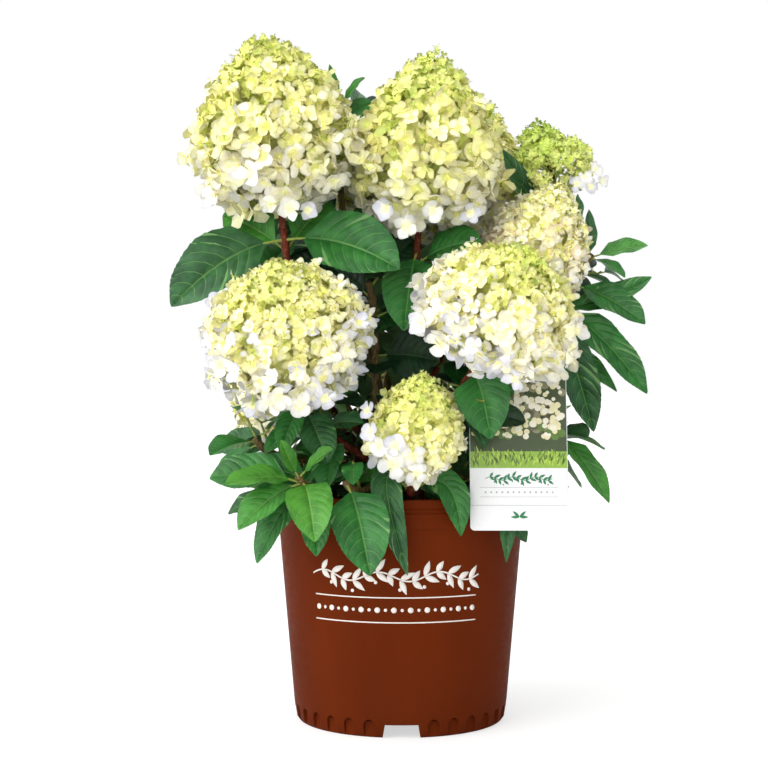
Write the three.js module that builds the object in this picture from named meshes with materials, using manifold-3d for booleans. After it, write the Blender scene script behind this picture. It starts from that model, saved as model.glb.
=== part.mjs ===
// A panicle hydrangea in a round nursery pot, in millimetres, +Z up. The origin is the centre of the pot's
// underside. Short canes fan out of one woody trunk, carry opposite leaves, and end in large cone-shaped heads of
// white flowers. The front of the plant looks along -Y. A heading is an angle round +Z, in degrees, where 0 is +X
// and 90 is +Y.
import * as THREE from "three";
import { mergeVertices } from "three/addons/utils/BufferGeometryUtils.js";
import Module from "manifold-3d";

const wasm = await Module();
wasm.setup();

// Driving dimensions
const GAP = 0.3;
const POT = {
  height: 216,
  rimRadius: 120,
  bandHeight: 26,
  bodyTopRadius: 116.6,
  bodyFootRadius: 101.5,
  shoulderHeight: 18,
  footRadius: 97,
  wall: 3,
  recessHeight: 11,
  recessOuterRadius: 84,
  padRadius: 28,
  floorThickness: 4,
  segments: 32,
};
const NOTCH = { count: 4, footWidth: 38, topWidth: 30, height: 12.2 };
const FLUTE = { count: 32, radius: 4.2, height: 15, depth: 3.2 };
const SOIL = { height: 198, rise: 2, segments: 24 };
const LABEL = {
  width: 88,
  height: 146,
  thickness: 0.9,
  corner: 4,
  lean: 10,
  leftX: 61,
  rimY: -106,
  footZ: 188,
  hookWidth: 12,
  hookThickness: 1.2,
  hookDrop: 10,
  hookY: -80,
};
const TRUNK = { footRadius: 29, waistRadius: 17, headRadius: 22, headZ: 232, sides: 14 };
const RINGS = { low: 12, middle: 42, high: 72 };
const CANE = {
  footRadius: 3.7,
  tipRadius: 2.6,
  sides: 4,
  stepLength: 45,
  split: 0.55,
  rise: 0.34,
  bend: 0.3,
  rake: 0.8,
};
const STALK = { footRadius: 2.5, tipRadius: 2.2, length: 14, sides: 4 };
const LEAF = {
  widthShare: 0.56,
  petioleShare: 0.16,
  petioleRadius: 1.4,
  thicknessShare: 0.018,
  widestAt: 0.39,
  baseFullness: 0.72,
  fold: 17,
  stations: [0.3, 0.7],
};

// How free a leaf of a pair is: the spread of its turn and of its angle from the cane in degrees, how much smaller
// the upper pairs are, the range of its size, sag and arch as shares, and how many times a place is tried.
const GROWTH = {
  turnSpread: 40,
  splaySpread: 24,
  shrink: 0.3,
  size: [0.8, 1.05],
  sag: [0.6, 1.1],
  arch: [0.1, 0.22],
  tries: 6,
};
const HEAD = {
  widestAt: 0.34,
  underCurve: 2.2,
  tipCurve: 0.85,
  flowerShare: 0.96,
  coreShare: 0.8,
  rootShare: 0.62,
  stalkShare: 0.3,
  coreSides: 8,
  coreHeights: [0.08, 0.3, 0.58, 0.84],
  tipSizeShare: 0.65,
  tipSizeCurve: 1.4,
  flowerArea: 2250,
  cover: 0.9,
};
const FLOWER = { petals: 4, notch: 0.62, cup: 0.1, eye: 0.06 };

// Every cane that ends in a flower head. size is the head's width and height, lean its tilt from upright, and point
// how blunt its tip is. leaves: how many pairs, the blade's length, the first pair's turn round the cane, the angle
// from the cane, how much they hang, and the heading that their upper faces turn to. shown: the leaves that stand
// out in the view of the front, by their place along the cane, tip, width, arch, sway, and the way that they face.
const FLOWERING = [
  {
    place: "upper_left",
    centre: [-119, -66, 559],
    size: [160, 170],
    lean: 6,
    heading: 190,
    point: 1.75,
    ring: "middle",
    leaves: { pairs: 3, length: 92, turn: 10, splay: 74, sag: 0.5, facing: 268 },
    shown: [
      { at: 0.96, tip: [-207, -98, 388], width: 60, arch: 20, facing: [255, 40] },
      { at: 0.96, tip: [-2, -104, 421], width: 62, arch: 18, facing: [275, 45] },
      { at: 0.87, tip: [-166, -52, 462], width: 46, arch: 8, facing: [250, 30] },
      { at: 0.87, tip: [-50, -24, 470], width: 44, arch: 10, facing: [285, 45] },
    ],
  },
  {
    place: "upper_centre",
    centre: [24, -48, 545],
    size: [146, 172],
    lean: 5,
    heading: 350,
    point: 1.6,
    ring: "high",
    leaves: { pairs: 3, length: 96, turn: 70, splay: 72, sag: 0.75, facing: 270 },
    shown: [
      { at: 0.96, tip: [2, -100, 366], width: 50, arch: 20, facing: [262, 12] },
      { at: 0.9, tip: [72, -84, 446], width: 44, arch: 14, facing: [280, 40] },
    ],
  },
  {
    place: "middle_right",
    centre: [89, -146, 391],
    size: [158, 116],
    lean: 34,
    heading: 310,
    point: 1.9,
    ring: "middle",
    leaves: { pairs: 2, length: 80, turn: 30, splay: 80, sag: 0.9, facing: 270 },
    shown: [{ at: 0.96, tip: [78, -128, 270], width: 50, arch: 30, facing: [268, 10] }],
  },
  {
    place: "middle_left",
    centre: [-103, -140, 371],
    size: [158, 134],
    lean: 40,
    heading: 262,
    point: 1.9,
    ring: "low",
    leaves: { pairs: 2, length: 82, turn: 60, splay: 78, sag: 0.7, facing: 250 },
    shown: [
      { at: 0.9, tip: [-108, -112, 258], width: 24, arch: 8, facing: [262, 10] },
      { at: 0.86, tip: [-66, -114, 248], width: 34, arch: 10, facing: [275, 20] },
    ],
  },
  {
    place: "lower_centre",
    centre: [14, -132, 286],
    size: [86, 98],
    lean: 22,
    heading: 285,
    point: 1.9,
    ring: "low",
    leaves: { pairs: 2, length: 70, turn: 15, splay: 75, sag: 0.8, facing: 270 },
    shown: [
      { at: 0.93, tip: [52, -124, 184], width: 30, arch: 52, sway: 18, facing: [285, 25] },
      { at: 0.93, tip: [5, -138, 151], width: 28, arch: 90, sway: -40, facing: [265, 15] },
    ],
  },
  {
    place: "right",
    centre: [132, -22, 456],
    size: [104, 122],
    lean: 22,
    heading: 340,
    point: 1.9,
    ring: "middle",
    leaves: { pairs: 3, length: 82, turn: 20, splay: 72, sag: 0.35, facing: 300 },
    shown: [],
  },
  {
    place: "upper_right",
    centre: [156, 34, 549],
    size: [100, 74],
    lean: 22,
    heading: 15,
    point: 2.2,
    ring: "middle",
    leaves: { pairs: 3, length: 78, turn: 50, splay: 68, sag: 0.45, facing: 320 },
    shown: [
      { at: 0.84, tip: [97, -4, 552], width: 36, arch: -6, facing: [280, 10] },
      { at: 0.92, tip: [170, 6, 500], width: 28, arch: 6, facing: [290, 40] },
    ],
  },
  {
    place: "upper_back_right",
    centre: [80, 64, 537],
    size: [88, 138],
    lean: 8,
    heading: 10,
    point: 1.7,
    ring: "high",
    leaves: { pairs: 3, length: 84, turn: 20, splay: 70, sag: 0.5, facing: 60 },
    shown: [],
  },
  {
    place: "upper_back_left",
    centre: [-50, 64, 536],
    size: [98, 118],
    lean: 10,
    heading: 120,
    point: 1.9,
    ring: "high",
    leaves: { pairs: 3, length: 86, turn: 80, splay: 70, sag: 0.55, facing: 120 },
    shown: [],
  },
  {
    place: "back_left",
    centre: [-116, 108, 384],
    size: [142, 138],
    lean: 34,
    heading: 140,
    point: 1.9,
    ring: "low",
    leaves: { pairs: 3, length: 88, turn: 30, splay: 74, sag: 0.6, facing: 140 },
    shown: [],
  },
  {
    place: "back",
    centre: [14, 144, 530],
    size: [146, 160],
    lean: 14,
    heading: 92,
    point: 1.9,
    ring: "high",
    leaves: { pairs: 3, length: 98, turn: 0, splay: 74, sag: 0.6, facing: 90 },
    shown: [],
  },
  {
    place: "back_right",
    centre: [116, 126, 408],
    size: [138, 136],
    lean: 34,
    heading: 45,
    point: 1.9,
    ring: "middle",
    leaves: { pairs: 3, length: 88, turn: 60, splay: 76, sag: 0.6, facing: 45 },
    shown: [],
  },
  {
    place: "lower_back",
    centre: [12, 158, 296],
    size: [112, 114],
    lean: 44,
    heading: 85,
    point: 1.9,
    ring: "low",
    leaves: { pairs: 2, length: 80, turn: 20, splay: 76, sag: 0.7, facing: 90 },
    shown: [],
  },
  {
    place: "lower_left",
    centre: [-128, 34, 318],
    size: [98, 104],
    lean: 50,
    heading: 170,
    point: 1.9,
    ring: "low",
    leaves: { pairs: 2, length: 78, turn: 40, splay: 76, sag: 0.7, facing: 180 },
    shown: [],
  },
];

// Every shoot that carries leaves only. tip is where its last pair of leaves stands.
const LEAFY = [
  {
    place: "front_left",
    tip: [-92, -118, 237],
    ring: "low",
    leaves: { pairs: 2, length: 74, turn: 30, splay: 66, sag: 0.35, facing: 262 },
    shown: [
      { at: 0.985, tip: [-106, -142, 270], width: 15, arch: -3, facing: [280, 30] },
      { at: 0.985, tip: [-60, -146, 262], width: 19, arch: 5, facing: [250, 45] },
      { at: 0.93, tip: [-154, -148, 231], width: 28, arch: 12, facing: [262, 50] },
      { at: 0.93, tip: [-172, -104, 234], width: 42, arch: 12, facing: [255, 40] },
      { at: 0.93, tip: [-143, -140, 191], width: 36, arch: 14, facing: [250, 40] },
      { at: 0.93, tip: [-75, -164, 183], width: 42, arch: 24, facing: [268, 38] },
      { at: 0.86, tip: [-128, -124, 160], width: 34, arch: 26, facing: [240, 30] },
    ],
  },
  {
    place: "front",
    tip: [-50, -118, 232],
    ring: "low",
    leaves: { pairs: 3, length: 76, turn: 10, splay: 66, sag: 0.3, facing: 270 },
    shown: [{ at: 0.97, tip: [-28, -156, 153], width: 50, arch: 24, facing: [272, 26] }],
  },
  {
    place: "front_right",
    tip: [86, -70, 240],
    ring: "low",
    leaves: { pairs: 3, length: 62, turn: 35, splay: 60, sag: 0.2, facing: 290 },
    shown: [{ at: 0.97, tip: [94, -98, 158], width: 22, arch: 52, sway: 10, facing: [285, 15] }],
  },
  {
    place: "right_low",
    tip: [150, -22, 276],
    ring: "low",
    leaves: { pairs: 4, length: 80, turn: 65, splay: 68, sag: 0.5, facing: 330 },
    shown: [
      { at: 0.97, tip: [193, -52, 208], width: 28, arch: 14, facing: [300, 40] },
      { at: 0.9, tip: [172, -60, 268], width: 34, arch: 8, facing: [285, 40] },
    ],
  },
  {
    place: "right_high",
    tip: [186, 14, 444],
    ring: "middle",
    leaves: { pairs: 3, length: 74, turn: 40, splay: 62, sag: 0.3, facing: 300 },
    shown: [
      { at: 0.985, tip: [183, 16, 488], width: 16, arch: -9, facing: [300, 20] },
      { at: 0.985, tip: [239, 8, 452], width: 22, arch: 4, facing: [285, 65] },
      { at: 0.985, tip: [214, -10, 420], width: 20, arch: 6, facing: [290, 60] },
      { at: 0.86, tip: [240, -8, 421], width: 34, arch: 8, facing: [275, 30] },
      { at: 0.86, tip: [231, -24, 375], width: 34, arch: 12, facing: [280, 30] },
      { at: 0.76, tip: [232, -30, 309], width: 36, arch: 24, facing: [280, 25] },
      { at: 0.76, tip: [179, -50, 274], width: 38, arch: 14, facing: [275, 20] },
      { at: 0.66, tip: [207, -6, 311], width: 24, arch: 8, facing: [290, 40] },
    ],
  },
  {
    place: "left",
    tip: [-136, -52, 268],
    ring: "low",
    leaves: { pairs: 4, length: 84, turn: 55, splay: 70, sag: 0.4, facing: 225 },
    shown: [{ at: 0.97, tip: [-173, -92, 254], width: 32, arch: 8, facing: [250, 45] }],
  },
  {
    place: "back_left_low",
    tip: [-92, 128, 262],
    ring: "low",
    leaves: { pairs: 4, length: 84, turn: 20, splay: 70, sag: 0.4, facing: 125 },
    shown: [],
  },
  {
    place: "back_right_low",
    tip: [110, 112, 266],
    ring: "low",
    leaves: { pairs: 4, length: 84, turn: 50, splay: 70, sag: 0.4, facing: 50 },
    shown: [],
  },
  {
    place: "top",
    tip: [-58, 8, 590],
    rake: -0.1,
    ring: "high",
    leaves: { pairs: 3, length: 62, turn: 25, splay: 52, sag: 0.15, facing: 300 },
    shown: [
      { at: 0.985, tip: [-68, -8, 624], width: 10, arch: -3, facing: [290, 20] },
      { at: 0.985, tip: [-34, -14, 610], width: 13, arch: 6, facing: [270, 40] },
      { at: 0.93, tip: [-26, 8, 590], width: 20, arch: 8, facing: [280, 20] },
    ],
  },
  {
    place: "middle",
    tip: [-30, -62, 412],
    ring: "middle",
    leaves: { pairs: 4, length: 92, turn: 0, splay: 70, sag: 0.5, facing: 270 },
    shown: [],
  },
  {
    place: "middle_back",
    tip: [20, 96, 436],
    ring: "middle",
    leaves: { pairs: 4, length: 92, turn: 45, splay: 70, sag: 0.5, facing: 90 },
    shown: [],
  },
  {
    place: "left_high",
    tip: [-128, 30, 446],
    ring: "middle",
    leaves: { pairs: 4, length: 84, turn: 10, splay: 66, sag: 0.4, facing: 180 },
    shown: [],
  },
];

const MATERIALS = {
  pot: new THREE.MeshStandardMaterial({ color: 0x6b2a16, roughness: 0.5, metalness: 0 }),
  soil: new THREE.MeshStandardMaterial({ color: 0x2a1c13, roughness: 1, metalness: 0 }),
  label: new THREE.MeshStandardMaterial({ color: 0xeeeef0, roughness: 0.45, metalness: 0 }),
  bark: new THREE.MeshStandardMaterial({ color: 0x6a3a22, roughness: 0.8, metalness: 0 }),
  leaf: new THREE.MeshStandardMaterial({ color: 0x2f7a36, roughness: 0.55, metalness: 0 }),
  youngLeaf: new THREE.MeshStandardMaterial({ color: 0x58a838, roughness: 0.5, metalness: 0 }),
  flower: new THREE.MeshStandardMaterial({ color: 0xf1f2dc, roughness: 0.7, metalness: 0 }),
  greenFlower: new THREE.MeshStandardMaterial({ color: 0xb4cf6a, roughness: 0.7, metalness: 0 }),
};

const UP = new THREE.Vector3(0, 0, 1);
const GOLDEN_ANGLE = Math.PI * (3 - Math.sqrt(5));
const radians = THREE.MathUtils.degToRad;
const lerp = THREE.MathUtils.lerp;
const vector = (x, y, z) => new THREE.Vector3(x, y, z);

// The direction at a heading and at an angle above the horizon.
function direction(heading, elevation) {
  const flat = Math.cos(radians(elevation));
  return vector(
    flat * Math.cos(radians(heading)),
    flat * Math.sin(radians(heading)),
    Math.sin(radians(elevation)),
  );
}

// start + amount * along, as a new point.
const offset = (start, along, amount) => start.clone().addScaledVector(along, amount);

// Two unit vectors across an axis, the first of them level.
function across(axis) {
  const reference = Math.abs(axis.z) > 0.98 ? vector(1, 0, 0) : UP;
  const level = new THREE.Vector3().crossVectors(axis, reference).normalize();
  return [level, new THREE.Vector3().crossVectors(axis, level).normalize()];
}

// A repeatable stream of numbers from 0 to 1.
function seeded(seed) {
  let state = seed;
  return () => {
    state = (state * 16807) % 2147483647;
    return state / 2147483647;
  };
}

// A closed surface through a row of rings. A ring holds either the same number of points as the others, or one
// point where the surface comes to a tip; open ends get a flat cap.
function loft(rings) {
  const points = rings.flat();
  const faces = [];
  let first = 0;
  for (let i = 0; i + 1 < rings.length; i++) {
    const here = rings[i].length;
    const there = rings[i + 1].length;
    const next = first + here;
    for (let k = 0; k < Math.max(here, there); k++) {
      const a = first + (here > 1 ? k : 0);
      const b = first + (here > 1 ? (k + 1) % here : 0);
      const c = next + (there > 1 ? k : 0);
      const d = next + (there > 1 ? (k + 1) % there : 0);
      if (here > 1) faces.push(a, b, d);
      if (there > 1) faces.push(a, d, c);
    }
    first = next;
  }
  const count = rings[0].length;
  for (let k = 1; k + 1 < count; k++) faces.push(0, k + 1, k);
  for (let k = 1; k + 1 < rings.at(-1).length; k++) faces.push(first, first + k, first + k + 1);
  return new THREE.BufferGeometry().setFromPoints(points).setIndex(faces);
}

// The solid inside a closed geometry, whichever way its faces point.
function solid(geometry) {
  const bare = geometry.clone();
  bare.deleteAttribute("normal");
  bare.deleteAttribute("uv");
  const merged = mergeVertices(bare, 1e-4);
  const points = new Float32Array(merged.attributes.position.array);
  const index = new Uint32Array(merged.index.array);
  const make = () => new wasm.Manifold(new wasm.Mesh({ numProp: 3, vertProperties: points, triVerts: index }));
  const made = make();
  if (made.volume() > 0) return made;
  index.reverse();
  return make();
}

// A named mesh of a solid, in flat faces.
function mesh(name, shape, material) {
  const { vertProperties, triVerts } = shape.getMesh();
  const geometry = new THREE.BufferGeometry()
    .setAttribute("position", new THREE.BufferAttribute(new Float32Array(vertProperties), 3))
    .setIndex(new THREE.BufferAttribute(new Uint32Array(triVerts), 1))
    .toNonIndexed();
  geometry.computeVertexNormals();
  const made = new THREE.Mesh(geometry, material);
  made.name = name;
  return made;
}

// The places along a curve where a limb has its rings: the marks, and enough places between them.
function stationsBetween(curve, marks) {
  const stations = [marks[0]];
  for (let i = 1; i < marks.length; i++) {
    const pieces = Math.ceil(((marks[i] - marks[i - 1]) * curve.getLength()) / CANE.stepLength);
    for (let k = 1; k <= pieces; k++) stations.push(lerp(marks[i - 1], marks[i], k / pieces));
  }
  return stations;
}

// A round limb along a curve, through rings at the stations given. Its ends are flat.
function limb(curve, stations, radiusAt, sides) {
  const rings = [];
  for (const t of stations) {
    const centre = curve.getPointAt(t);
    const [right, over] = across(curve.getTangentAt(t));
    const radius = radiusAt(t);
    rings.push(
      Array.from({ length: sides }, (_, k) => {
        const angle = (2 * Math.PI * k) / sides;
        return offset(offset(centre, right, radius * Math.cos(angle)), over, radius * Math.sin(angle));
      }),
    );
  }
  return solid(loft(rings));
}

// Pot

// A prism along the pot's radius, from the outline of its end, seen from outside.
function radialPrism(outline, innerRadius, outerRadius, heading) {
  const shape = new THREE.Shape(outline.map(([x, z]) => new THREE.Vector2(x, z)));
  const depth = outerRadius - innerRadius;
  const geometry = new THREE.ExtrudeGeometry(shape, { depth, bevelEnabled: false });
  geometry.rotateX(Math.PI / 2);
  geometry.translate(0, -innerRadius, 0);
  geometry.rotateZ(radians(heading + 90));
  return solid(geometry);
}

// The outer radius of the pot's body at a height.
const potRadius = (z) =>
  lerp(
    POT.bodyFootRadius,
    POT.bodyTopRadius,
    (z - POT.shoulderHeight) / (POT.height - POT.bandHeight - POT.shoulderHeight),
  );

function buildPot() {
  const band = POT.height - POT.bandHeight;
  const floor = POT.recessHeight + POT.floorThickness;
  const innerTop = POT.rimRadius - POT.wall - 1;
  const profile = [
    [0, 0],
    [POT.padRadius, 0],
    [POT.padRadius + 4, POT.recessHeight],
    [POT.recessOuterRadius, POT.recessHeight],
    [POT.recessOuterRadius + 2, 0],
    [POT.footRadius, 0],
    [POT.footRadius + 2.5, 4],
    [POT.bodyFootRadius, POT.shoulderHeight],
    [POT.bodyTopRadius, band - 1],
    [POT.rimRadius - 0.5, band],
    [POT.rimRadius, band + 3],
    [POT.rimRadius, POT.height],
    [innerTop, POT.height],
    [POT.bodyTopRadius - POT.wall, band - 4],
    [potRadius(floor) - POT.wall, floor],
    [0, floor],
  ];
  const lathe = new THREE.LatheGeometry(
    profile.map(([r, z]) => new THREE.Vector2(r, z)),
    POT.segments,
  );
  lathe.rotateX(Math.PI / 2);
  let body = solid(lathe);
  const notch = [
    [-NOTCH.footWidth / 2 - 1, -3],
    [NOTCH.footWidth / 2 + 1, -3],
    [NOTCH.topWidth / 2, NOTCH.height],
    [-NOTCH.topWidth / 2, NOTCH.height],
  ];
  const flute = [
    [-FLUTE.radius, -1],
    [FLUTE.radius, -1],
    [FLUTE.radius, FLUTE.height - FLUTE.radius],
    [0, FLUTE.height],
    [-FLUTE.radius, FLUTE.height - FLUTE.radius],
  ];
  const notchSpan = 360 / NOTCH.count;
  for (let i = 0; i < NOTCH.count; i++) {
    body = body.subtract(radialPrism(notch, POT.recessOuterRadius - 6, POT.rimRadius, 270 + i * notchSpan));
  }
  for (let i = 0; i < FLUTE.count; i++) {
    const heading = 270 + ((i + 0.5) * 360) / FLUTE.count;
    const fromNotch = Math.abs(((heading - 270 + notchSpan / 2) % notchSpan) - notchSpan / 2);
    if (radians(fromNotch) * POT.footRadius < NOTCH.footWidth / 2 + FLUTE.radius + 1) continue;
    body = body.subtract(radialPrism(flute, POT.bodyFootRadius - FLUTE.depth, POT.rimRadius, heading));
  }
  return body;
}

// The soil fills the pot to its top level, clear of the wall, and rises a little towards the trunk.
function buildSoil() {
  const floor = POT.recessHeight + POT.floorThickness + GAP;
  const inner = (z) => potRadius(z) - POT.wall - 2 * GAP;
  const profile = [
    [0, floor],
    [inner(floor), floor],
    [inner(SOIL.height - 14), SOIL.height - 14],
    [inner(SOIL.height - 14) - 1, SOIL.height - 1.5],
    [POT.rimRadius / 2, SOIL.height + SOIL.rise * 0.6],
    [TRUNK.footRadius + 3, SOIL.height + SOIL.rise],
    [0, SOIL.height + SOIL.rise],
  ];
  const lathe = new THREE.LatheGeometry(
    profile.map(([r, z]) => new THREE.Vector2(r, z)),
    SOIL.segments,
  );
  return solid(lathe.rotateX(Math.PI / 2));
}

// Label: a card that leans back in front of the rim and hooks over it.

function box(low, high) {
  const size = high.map((v, i) => v - low[i]);
  const geometry = new THREE.BoxGeometry(...size);
  geometry.translate(...low.map((v, i) => v + size[i] / 2));
  return solid(geometry);
}

function buildLabel() {
  const { width, height, corner } = LABEL;
  const shape = new THREE.Shape();
  shape.moveTo(corner, 0);
  for (const [x, z, startAngle] of [
    [width - corner, corner, -90],
    [width - corner, height - corner, 0],
    [corner, height - corner, 90],
    [corner, corner, 180],
  ]) {
    shape.absarc(x, z, corner, radians(startAngle), radians(startAngle + 90), false);
  }
  const thickness = { depth: LABEL.thickness, bevelEnabled: false, curveSegments: 4 };
  const geometry = new THREE.ExtrudeGeometry(shape, thickness);
  geometry.rotateX(Math.PI / 2);
  geometry.rotateX(radians(-LABEL.lean));
  const rimShift = (POT.height - LABEL.footZ) * Math.tan(radians(LABEL.lean));
  geometry.translate(LABEL.leftX, LABEL.rimY - rimShift, LABEL.footZ);
  const left = LABEL.leftX + corner;
  const right = left + LABEL.hookWidth;
  const strapZ = POT.height + GAP;
  const strapTop = strapZ + LABEL.hookThickness;
  const strap = box([left, LABEL.rimY - 0.5, strapZ], [right, LABEL.hookY, strapTop]);
  const legLow = [left, LABEL.hookY - LABEL.hookThickness, strapZ - LABEL.hookDrop];
  const leg = box(legLow, [right, LABEL.hookY, strapTop]);
  return solid(geometry).add(strap).add(leg);
}

// Trunk: a short woody stump with a root flare and a round head that the canes spring from.

const HEAD_CENTRE = vector(0, 0, TRUNK.headZ);

function buildTrunk() {
  const foot = SOIL.height + SOIL.rise + GAP;
  const profile = [
    [0, foot],
    [TRUNK.footRadius, foot],
    [TRUNK.footRadius * 0.78, foot + 4],
    [TRUNK.waistRadius, foot + 12],
  ];
  for (let angle = -45; angle < 90; angle += 15) {
    profile.push([
      TRUNK.headRadius * Math.cos(radians(angle)),
      TRUNK.headZ + TRUNK.headRadius * Math.sin(radians(angle)),
    ]);
  }
  profile.push([0, TRUNK.headZ + TRUNK.headRadius]);
  const lathe = new THREE.LatheGeometry(
    profile.map(([r, z]) => new THREE.Vector2(r, z)),
    TRUNK.sides,
  );
  return solid(lathe.rotateX(Math.PI / 2));
}

// The canes of one ring stand round the trunk's head at even steps, in the order of their headings. The ring is
// turned so that the canes lie as near those headings as they can.
function ringHeadings(targets) {
  const order = targets.map((_, i) => i).sort((a, b) => targets[a] - targets[b]);
  const step = 360 / targets.length;
  const mean = order.reduce((sum, who, place) => sum + targets[who] - place * step, 0) / targets.length;
  const headings = [];
  order.forEach((who, place) => {
    headings[who] = mean + place * step;
  });
  return headings;
}

const headAxis = (row) => direction(row.heading, 90 - row.lean);

// The curve that a cane follows from the trunk's head to the foot of its flower head, or to its own tip.
function caneCurve(row, footHeading) {
  const start = direction(footHeading, RINGS[row.ring]);
  const foot = offset(HEAD_CENTRE, start, TRUNK.headRadius + GAP);
  let tip = vector(...(row.tip ?? row.centre));
  let end = tip.clone().sub(foot).setZ(0).setLength(row.rake ?? CANE.rake).add(UP).normalize();
  if (!row.tip) {
    end = headAxis(row);
    tip = offset(tip, end, -row.size[1] / 2 - STALK.length);
  }
  const reach = foot.distanceTo(tip);
  const lower = offset(foot, start, reach * CANE.rise);
  const upper = offset(tip, end, -reach * CANE.bend);
  return new THREE.CubicBezierCurve3(foot, lower, upper, tip);
}

// Leaves

// The half width of a blade at a share of its length, as a share of its greatest half width.
function bladeWidth(s) {
  const fullness = LEAF.baseFullness;
  const taper = (fullness * (1 - LEAF.widestAt)) / LEAF.widestAt;
  return (s / LEAF.widestAt) ** fullness * ((1 - s) / (1 - LEAF.widestAt)) ** taper;
}

// One leaf with its stalk, along an arched line: a stalk, then a blade folded along its rib. over is the way that
// its upper face looks.
function leaf(line, over, width) {
  const thickness = (line.getLength() * LEAF.thicknessShare) / 2;
  const ring = (t, half, rise, depth) => {
    const centre = line.getPoint(t);
    const along = line.getTangent(t);
    const side = new THREE.Vector3().crossVectors(along, over).normalize();
    const normal = new THREE.Vector3().crossVectors(side, along);
    return [
      offset(offset(centre, side, -half), normal, rise),
      offset(centre, normal, depth),
      offset(offset(centre, side, half), normal, rise),
      offset(centre, normal, -depth),
    ];
  };
  const rings = [0, LEAF.petioleShare].map((t) => ring(t, LEAF.petioleRadius, 0, LEAF.petioleRadius));
  for (const s of LEAF.stations) {
    const half = (width / 2) * bladeWidth(s);
    const t = lerp(LEAF.petioleShare, 1, s);
    rings.push(ring(t, half * Math.cos(radians(LEAF.fold)), half * Math.sin(radians(LEAF.fold)), thickness));
  }
  rings.push([line.getPoint(1)]);
  return solid(loft(rings));
}

// The line of a leaf from its root to its tip, arched upwards and swayed to one side.
function leafLine(root, tip, arch, sway = 0) {
  const middle = root.clone().lerp(tip, 0.5).add(vector(sway, 0, arch));
  return new THREE.QuadraticBezierCurve3(root, middle, tip);
}

// The places along a cane where its pairs of leaves stand.
const leafNodes = (from, pairs) => Array.from({ length: pairs }, (_, i) => lerp(from, 1, (i + 0.6) / pairs));

// One leaf of a cane: opposite pairs, each a quarter turn from the one before, a little free in every measure.
function leafOfPair(curve, rule, t, pair, side, random) {
  const { pairs, length, turn, splay, sag, facing } = rule;
  const root = curve.getPointAt(t);
  const axis = curve.getTangentAt(t);
  const [right, over] = across(axis);
  const within = ([low, high]) => lerp(low, high, random());
  const angle = radians(turn + 90 * pair + 180 * side + GROWTH.turnSpread * (random() - 0.5));
  const spread = radians(splay + GROWTH.splaySpread * (random() - 0.5));
  const size = length * (1 - (GROWTH.shrink * pair) / pairs) * within(GROWTH.size);
  const along = right
    .multiplyScalar(Math.cos(angle))
    .addScaledVector(over, Math.sin(angle))
    .multiplyScalar(Math.sin(spread))
    .addScaledVector(axis, Math.cos(spread))
    .addScaledVector(UP, -sag * within(GROWTH.sag))
    .normalize();
  const tip = offset(root, along, size * (1 + LEAF.petioleShare));
  const line = leafLine(root, tip, size * within(GROWTH.arch));
  const upper = direction(facing, 30).addScaledVector(axis, 0.4).addScaledVector(UP, 0.3);
  return leaf(line, upper, size * LEAF.widthShare);
}

// Flower heads

// The radius of a flower head at a share of its height, as a share of its greatest radius: a round underside below
// a cone. The larger point is, the blunter the cone.
function headRadius(h, point) {
  if (h < HEAD.widestAt) return Math.sqrt(1 - ((HEAD.widestAt - h) / HEAD.widestAt) ** HEAD.underCurve);
  return (1 - ((h - HEAD.widestAt) / (1 - HEAD.widestAt)) ** point) ** HEAD.tipCurve;
}

// A head's own frame: its foot and axis, points on its surface, and the way out from them.
function headFrame(row) {
  const axis = headAxis(row);
  const [right, over] = across(axis);
  const [width, height] = row.size;
  const foot = offset(vector(...row.centre), axis, -height / 2);
  const outward = (angle) => offset(right.clone().multiplyScalar(Math.cos(angle)), over, Math.sin(angle));
  const radius = (h) => (width / 2) * headRadius(THREE.MathUtils.clamp(h, 0, 1), row.point);
  const slope = (h) => (radius(h + 0.01) - radius(h - 0.01)) / 0.02;
  const surface = (h, angle, share) =>
    offset(offset(foot, axis, height * (0.5 + (h - 0.5) * share)), outward(angle), radius(h) * share);
  const normal = (h, angle) => outward(angle).addScaledVector(axis, -slope(h) / height).normalize();
  return { axis, foot, width, height, radius, slope, surface, normal };
}

// A flower's size at a share of the head's height, where 1 is the size at the foot.
const flowerSize = (h) => lerp(1, HEAD.tipSizeShare, h ** HEAD.tipSizeCurve);

// The heights and angles of flowers that cover a head evenly, where they are smaller towards its tip, and the
// radius that lets the lowest of them touch.
function flowerPlaces({ width, height, radius, slope }) {
  const slices = 60;
  const sums = [0];
  for (let i = 0; i < slices; i++) {
    const h = (i + 0.5) / slices;
    const band = 2 * Math.PI * radius(h) * (Math.hypot(slope(h), height) / slices);
    sums.push(sums.at(-1) + band / flowerSize(h) ** 2);
  }
  const total = sums.at(-1);
  const count = Math.round((width * height) / HEAD.flowerArea) + 4;
  const places = Array.from({ length: count }, (_, i) => {
    const wanted = (total * (i + 0.5)) / count;
    const slice = sums.findIndex((sum) => sum >= wanted);
    const within = (wanted - sums[slice - 1]) / (sums[slice] - sums[slice - 1]);
    return [(slice - 1 + within) / slices, i * GOLDEN_ANGLE];
  });
  return { places, radius: HEAD.cover * Math.sqrt(total / count / Math.PI) };
}

// One four-lobed flower on a stalk that runs down to its root inside the head.
function flower(root, centre, outwards, radius, turn) {
  const [right, over] = across(outwards);
  const rim = Array.from({ length: 2 * FLOWER.petals }, (_, k) => {
    const angle = turn + (Math.PI * k) / FLOWER.petals;
    const reach = radius * (k % 2 ? FLOWER.notch : 1);
    const point = offset(offset(centre, right, reach * Math.cos(angle)), over, reach * Math.sin(angle));
    return offset(point, outwards, k % 2 ? 0 : radius * FLOWER.cup);
  });
  return solid(loft([[root], rim, [offset(centre, outwards, radius * FLOWER.eye)]]));
}

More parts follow.
